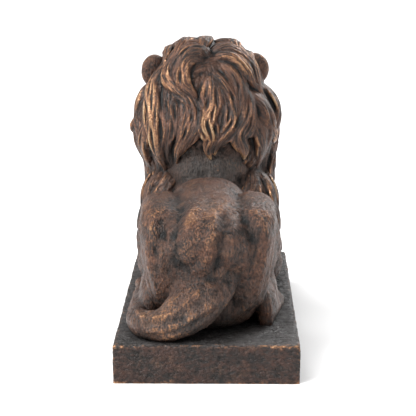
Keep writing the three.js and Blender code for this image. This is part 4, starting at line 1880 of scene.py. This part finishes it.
@dataclass
class Plinth:
    """The block that the lion lies on: worn edges, and rough tool marks across its top."""

    low: Triple
    high: Triple
    cells: Triple = (0.003, 0.0015, 0.0024)
    edge: float = 0.0028
    # From one tool mark to the next, in hundredths
    mark_spacing: float = 1.9
    # How deep they all bite, in metres: marks and grit on the top, notches, grit and dents on the sides
    mark_depth: float = 0.0017
    grit_depth: float = 0.0012
    notch_depth: float = 0.0014
    side_grit_depth: float = 0.0008
    dent_depth: float = 0.001
    depth: Array = field(init=False)

    def face(self, axis: int, side: int, counts: tuple[int, int, int]) -> tuple[Array, Array]:
        """One side of the block as a grid of points and quads.

        Args:
            axis: The axis that it faces along.
            side: 1 or -1 along that axis.
            counts: Cells along each axis.

        Returns:
            Points in metres, and quads.
        """
        u, v = [a for a in range(3) if a != axis]
        nu, nv = counts[u], counts[v]
        grid = np.zeros((nu + 1, nv + 1, 3))
        grid[..., u] = np.linspace(self.low[u], self.high[u], nu + 1)[:, None]
        grid[..., v] = np.linspace(self.low[v], self.high[v], nv + 1)[None]
        grid[..., axis] = self.high[axis] if side > 0 else self.low[axis]
        i, j = np.meshgrid(np.arange(nu), np.arange(nv), indexing="ij")
        a = i * (nv + 1) + j
        quads = np.stack([a, a + nv + 1, a + nv + 2, a + 1], -1).reshape(-1, 4)
        flip = (side > 0) != (axis == 1)
        return grid.reshape(-1, 3), quads if flip else quads[:, ::-1]

    def build(self) -> tuple[Array, Array]:
        """All six sides as one skin, with their edges worn.

        Returns:
            Points in metres, and quads.
        """
        size = np.array(self.high) - self.low
        counts = tuple(int(n) for n in np.round(size / self.cells))
        points, quads, used = [], [], 0
        for axis in range(3):
            for side in (-1, 1):
                p, q = self.face(axis, side, counts)
                points.append(p)
                quads.append(q + used)
                used += len(p)
        points, quads = np.vstack(points), np.vstack(quads)
        keys, index = np.unique(np.round(points * 1e6).astype(np.int64), axis=0, return_inverse=True)
        merged = np.zeros((len(keys), 3))
        merged[index.ravel()] = points
        return self.worn(merged), index.ravel()[quads]

    def worn(self, p: Array) -> Array:
        """The points with edges rounded unevenly and the surface roughened, all inward.

        Args:
            p: Points on the square block.

        Returns:
            Points on the worn block.
        """
        h = p / HUNDREDTH
        chips = np.clip(Grain(3, (1.4, 2.2, 1.4)).at(h) * 1.6 - 0.3, 0, 1)
        uneven = Grain(4, (7, 7, 7)).at(h)
        radius = self.edge * (1 + 0.35 * uneven + 0.9 * chips)
        low, high = np.array(self.low), np.array(self.high)
        inner = np.clip(p, low + radius[:, None], high - radius[:, None])
        away = unit(p - inner)
        rounded = inner + away * radius[:, None]
        wave = Grain(5, (9, 5, 9)).at(h) * 0.55
        ridges = 0.5 + 0.5 * np.sin(2 * np.pi * (h[:, 1] / self.mark_spacing + wave))
        marks = ridges * (0.55 + 0.45 * Grain(6, (4, 2.4, 4)).at(h))
        rough = 0.5 + 0.5 * Grain(7, (1.1, 0.8, 1.1)).at(h)
        dents = 0.5 + 0.5 * Grain(8, (6, 6, 5)).at(h)
        up = np.clip(away[:, 2], 0, 1)
        side = 1 - np.abs(away[:, 2])
        # The marks bite deepest along the long edges, which they leave notched
        notched = 4 * up * np.abs(away[:, 0])
        on_top = self.mark_depth * marks + self.grit_depth * rough
        on_side = self.side_grit_depth * rough + self.dent_depth * dents
        depth = up * on_top + side * on_side
        depth += notched * self.notch_depth * marks
        under = away[:, 2] < -0.5
        depth[under] = 0
        self.depth = depth
        worn = rounded - away * depth[:, None]
        foot = p[:, 2] < 1e-6
        worn[foot & under, 2] = self.low[2]
        return worn


@dataclass
class Statue:
    """The whole casting: lion and plinth, with what the finish on each reads."""

    body: Body = field(default_factory=Body)
    mane: Mane = field(default_factory=Mane)
    head: Head = field(default_factory=Head)
    most: int = 194000
    most_on_head: int = 150000
    # How far inside the solid's box each piece stays, in metres, and over how far it is held back
    margin: float = 0.0003
    knee: float = 1.6
    # How wide the space is that counts as close by
    close_by: float = 0.65
    # How much the fine relief and the larger strokes count as standing out
    relief_out: float = 0.5
    stroke_out: float = 0.13
    # How much painted grey sheen a pressed stroke gets, and how far that sheen lifts the painted shade under
    # it
    pressed_sheen: float = 0.18
    sheen_over_shade: float = 0.35
    # Gold on hair: the least, and how much a lock's own share adds
    least_gold: float = 0.12
    lock_gold: float = 0.9
    # The face has less gold and finer relief than the coat
    face_gold: float = 0.6
    face_relief: float = 0.3
    # Where the gold is rubbed most on the body: the middle, the size and the share of each place
    worn_places: Sequence[tuple[Triple, float, float]] = (
        ((22, 62, 44), 8, 0.3),
        ((-22, 62, 44), 8, 0.2),
        ((2, 66, 42), 9, 0.35),
        ((0, 48, 51), 17, 0.4),
        ((14, 72, 8), 9, 0.6),
        ((5, 66, 18), 8, 0.3),
        ((22, 48, 2), 6, 0.2),
    )
    # Where the painted grey sheen is strongest: the middle, the half sizes and the share of each place
    grey_sheen_places: Sequence[tuple[Triple, Triple, float]] = (
        ((0, 2, 50), (17, 13, 9), 0.9),
        ((-6, 64, 8), (16, 14, 9), 0.5),
        ((12, 73, 8), (15, 9, 9), 0.45),
    )

    def kept_in(self, carving: Carving) -> None:
        """Holds a piece inside the solid's box, which its crown and its tail come close to.

        Args:
            carving: The piece.
        """
        foot = np.array([0, 0, PLINTH_HEIGHT])
        low = (np.array(CAD_LOW) + self.margin - foot) / HUNDREDTH
        high = (np.array(CAD_HIGH) - self.margin - foot) / HUNDREDTH
        knee = self.knee
        p = carving.shell.points
        p = np.minimum(p, high - knee) + knee * np.tanh(np.maximum(p - (high - knee), 0) / knee)
        p = np.maximum(p, low + knee) - knee * np.tanh(np.maximum(low + knee - p, 0) / knee)
        carving.shell.points = p

    def rubbed_at(self, points: Array) -> Array:
        """How much gold is rubbed on the coat, from its worn places.

        Args:
            points: The coat's corners.

        Returns:
            A share from 0 to 1 for each.
        """
        total = np.full(len(points), 0.35)
        for at, size, share in self.worn_places:
            total += share * np.exp(-((np.linalg.norm(points - at, axis=1) / size) ** 2))
        return np.minimum(total, 1)

    def grey_sheen_at(self, points: Array) -> Array:
        """How much painted grey sheen the finish has: most on the neck and the back, and less below the rump
        and on the tail.

        Args:
            points: A piece's corners.

        Returns:
            A share from 0 to 1 for each.
        """
        total = np.zeros(len(points))
        for at, half, share in self.grey_sheen_places:
            total += share * np.exp(-(np.linalg.norm((points - at) / half, axis=1) ** 2))
        return np.clip(total, 0, 1)

    @staticmethod
    def stroked(points: Array) -> Array:
        """The height of the strokes modelled into the rump, the flanks and the tail.

        Args:
            points: The body's corners.

        Returns:
            A height for each.
        """
        tree = tree_of(points)
        total = np.zeros(len(points))
        for height, width, *places in BODY_STROKES:
            share = np.linspace(0, 1, 70)
            path = np.array([tree.find(p)[0] for p in spline(np.array(places, float), share)])
            reach = 2.5 * width
            close = ((points > path.min(0) - reach) & (points < path.max(0) + reach)).all(1)
            off = np.linalg.norm(points[close][:, None] - path[None], axis=2).min(1)
            total[close] += height * np.exp(-((off / width) ** 2))
        return total

    @staticmethod
    def coat_height(points: Array) -> Array:
        """The uneven, scratched surface of short hair cut with a tool.

        Args:
            points: The coat's corners.

        Returns:
            A height for each, in hundredths.
        """
        strokes = Grain(11, (0.65, 0.65, 2.6)).at(points) * 0.25
        lumps = Grain(12, (3.0, 3.0, 3.0)).at(points) * 0.22
        pits = np.clip(Grain(13, (1.1, 1.1, 1.3)).at(points) - 0.4, 0, 1) * 0.4
        return strokes + lumps - pits

    @staticmethod
    def strand_height(lay: Array) -> Array:
        """Hairs along each strand."""
        return 0.13 * Grain(14, (0.6, 7, 1)).at(lay) + 0.1 * Grain(15, (1.3, 4, 1)).at(lay)

    def carve(self) -> list[bpy.types.Object]:
        """Carves every piece and stores what its finish reads.

        Returns:
            The pieces: body, the mane's two, head and plinth.
        """
        carvings = [
            Carving("lion_body", *self.body.carve(), self.most),
            Carving("lion_head", *self.head.carve(), self.most_on_head),
            *(Carving(*piece, self.most, hair) for *piece, hair in self.mane.carve()),
        ]
        block = Plinth(tuple(CAD_LOW), (CAD_HIGH.x, CAD_HIGH.y, PLINTH_HEIGHT))
        base_points, base_quads = block.build()
        base = (base_points - (0, 0, PLINTH_HEIGHT)) / HUNDREDTH
        shells = [*(carving.shell for carving in carvings), Shell(base, halved(base_quads))]
        # What is round each place, for the painted shade where the pieces crowd each other
        round_about = Surroundings(Block((-36, -80, -16), (36, 80, 103), 0.9), shells)
        pieces = []
        for carving in carvings:
            near = carving.standing_out(self.close_by)
            points = carving.shell.points
            grey_sheen = self.grey_sheen_at(points)
            # Far is how open a place is among all the pieces, and low places get painted shade; the painted
            # grey sheen of the neck and the back lifts that shade
            far = round_about.openness(points) + self.sheen_over_shade * grey_sheen
            if carving.hair:
                lay, rubbed = carving.hair.read(points)
                shine = self.least_gold + self.lock_gold * rubbed
                height = self.strand_height(lay)
            else:
                lay, shine, height = None, self.rubbed_at(points), self.coat_height(points)
            if carving.name == "lion_head":
                shine, height = self.face_gold * shine, self.face_relief * height
            near = near + self.relief_out * height
            if carving.name == "lion_body":
                stroke = self.stroked(points)
                height += stroke
                near += self.stroke_out * stroke
                # Pressed strokes get more of the painted grey sheen
                grey_sheen = np.clip(grey_sheen + self.pressed_sheen * np.maximum(-stroke, 0), 0, 1)
            carving.raise_by(height)
            self.kept_in(carving)
            piece = object_of(carving.name, metres(carving.shell.points), carving.shell.triangles)
            values = {"near": near, "far": far, "shine": shine, "grey_sheen": grey_sheen}
            for name, value in values.items():
                store(piece, name, value)
            if lay is not None:
                store(piece, "lay", lay)
            pieces.append(piece)
        pieces.append(self.plinth(base_points, base_quads, base, block.depth, round_about))
        return pieces

    @staticmethod
    def plinth(
        points: Array, quads: Array, base: Array, depth: Array, round_about: Surroundings
    ) -> bpy.types.Object:
        """The plinth, with gold rubbed on its edges and the most along the rear one.

        Args:
            points: Its corners, in metres.
            quads: Its faces.
            base: Its corners, in hundredths over its top.
            depth: How deep the tool has bitten at each corner.
            round_about: What is round it.

        Returns:
            The finished piece, without its material.
        """
        piece = object_of("plinth", points, quads)
        # Low where the lion crowds the plinth, and painted there as shade
        open_here = round_about.openness(base)
        block = Block((-34, -79, -15.5), (34, 79, 1.5), 0.6)
        inside = block.distance([Shell(base, halved(quads))])
        near = 1 - 2 * block.sampled(block.crowding(inside, 0.8), base)
        rear = np.clip((base[:, 1] - 74) / 2, 0, 1) * np.clip((base[:, 2] + 2.5) / 1.5, 0, 1)
        top = np.clip((base[:, 2] + 1.0) / 0.6, 0, 1)
        near = 0.5 * near + 0.16 - 190 * depth
        # The plinth's top carries the painted grey sheen
        finish = {"near": near, "far": open_here, "shine": 0.05 + 0.3 * rear, "grey_sheen": 0.05 + 0.85 * top}
        for name, values in finish.items():
            store(piece, name, values)
        return piece


@dataclass
class Studio:
    """A pale floor, soft light and the camera where the photograph was taken."""

    camera_at: Triple = (-0.0241, 1.8419, 0.4951)
    camera_pitch: float = 0.1876
    camera_yaw: float = 0.0139
    focal_pixels: float = 1577.75
    frame_pixels: int = 416

    def camera(self) -> None:
        """Makes the camera."""
        data = bpy.data.cameras.new("camera")
        data.sensor_width = 36
        data.lens = 36 * self.focal_pixels / self.frame_pixels
        data.clip_start, data.clip_end = 0.05, 50
        made = bpy.data.objects.new("camera", data)
        made.location = self.camera_at
        a, b = self.camera_yaw, self.camera_pitch
        forward = Vector((math.sin(a) * math.cos(b), -math.cos(a) * math.cos(b), -math.sin(b)))
        made.rotation_mode = "QUATERNION"
        made.rotation_quaternion = forward.to_track_quat("-Z", "Y")
        bpy.context.scene.collection.objects.link(made)
        bpy.context.scene.camera = made

    def floor(self) -> None:
        """Makes the pale floor."""
        size = 30.0
        corners = np.array([(-size, -size, 0), (size, -size, 0), (size, size, 0), (-size, size, 0)], float)
        floor = object_of("floor", corners, np.array([[0, 1, 2, 3]]))
        pale = bpy.data.materials.new("pale_floor")
        pale.use_nodes = True
        shader = pale.node_tree.nodes["Principled BSDF"]
        shader.inputs["Base Color"].default_value = (0.92, 0.92, 0.92, 1)
        shader.inputs["Roughness"].default_value = 0.9
        floor.data.materials.append(pale)

    @staticmethod
    def lit(name: str, kind: str, at: Triple, power: float) -> bpy.types.Light:
        """A lamp that faces the statue.

        Args:
            name: Its name.
            kind: AREA or SUN.
            at: Where it stands.
            power: Its power in watts, or a sun's in watts on a square metre.

        Returns:
            Its data, for its size.
        """
        data = bpy.data.lights.new(name, kind)
        data.energy = power
        made = bpy.data.objects.new(name, data)
        made.location = at
        made.rotation_mode = "QUATERNION"
        made.rotation_quaternion = (Vector((0, 0, 0.2)) - Vector(at)).to_track_quat("-Z", "Y")
        bpy.context.scene.collection.objects.link(made)
        return data

    def light(self) -> None:
        """Lights the statue softly from all round, and most from above on the camera's left."""
        world = bpy.data.worlds.new("studio")
        world.use_nodes = True
        back = world.node_tree.nodes["Background"]
        back.inputs["Color"].default_value = (1, 1, 1, 1)
        back.inputs["Strength"].default_value = 0.65
        bpy.context.scene.world = world
        self.lit("sky", "SUN", (1.6, 0.8, 2.3), 3.6).angle = 1.0
        self.lit("key", "AREA", (1.2, 1.5, 1.4), 22).size = 0.6
        self.lit("front", "AREA", (-1.2, -1.8, 1.5), 40).size = 0.9
        bpy.context.scene.view_settings.view_transform = "Standard"


def write_sizes() -> None:
    """Brings the scene's evaluated state up to date."""
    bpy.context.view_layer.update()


def main() -> None:
    """Builds the studio and the statue, and reports each piece."""
    logging.basicConfig(level=logging.INFO, format="%(name)s: %(message)s")
    studio = Studio()
    studio.camera()
    studio.floor()
    studio.light()
    groups = {"wash_and_shade": wash_and_shade_group(), "rub": rub_group(), "scratches": scratch_group()}
    coat = AgedBronze("aged_bronze_coat").material(groups)
    hair = AgedBronze(
        "aged_bronze_hair", depth=0.0025, dirt=0.8, bare=0.3, grooves=(1.7, 0.14, 1), along_hair=True
    ).material(groups)
    stone = AgedBronze(
        "aged_bronze_plinth",
        body=(0.034, 0.014, 0.009),
        second=(0.013, 0.009, 0.007),
        grey_sheen_colour=(0.06, 0.057, 0.056),
        depth=0.004,
        bare=0.3,
        grooves=(160, 420, 300),
    ).material(groups)
    finishes = {"mane_behind_head": hair, "mane_round_face": hair, "plinth": stone}
    for piece in Statue().carve():
        piece.data.materials.append(finishes.get(piece.name, coat))
        in_place(piece)
    write_sizes()


if __name__ == "__main__":
    main()
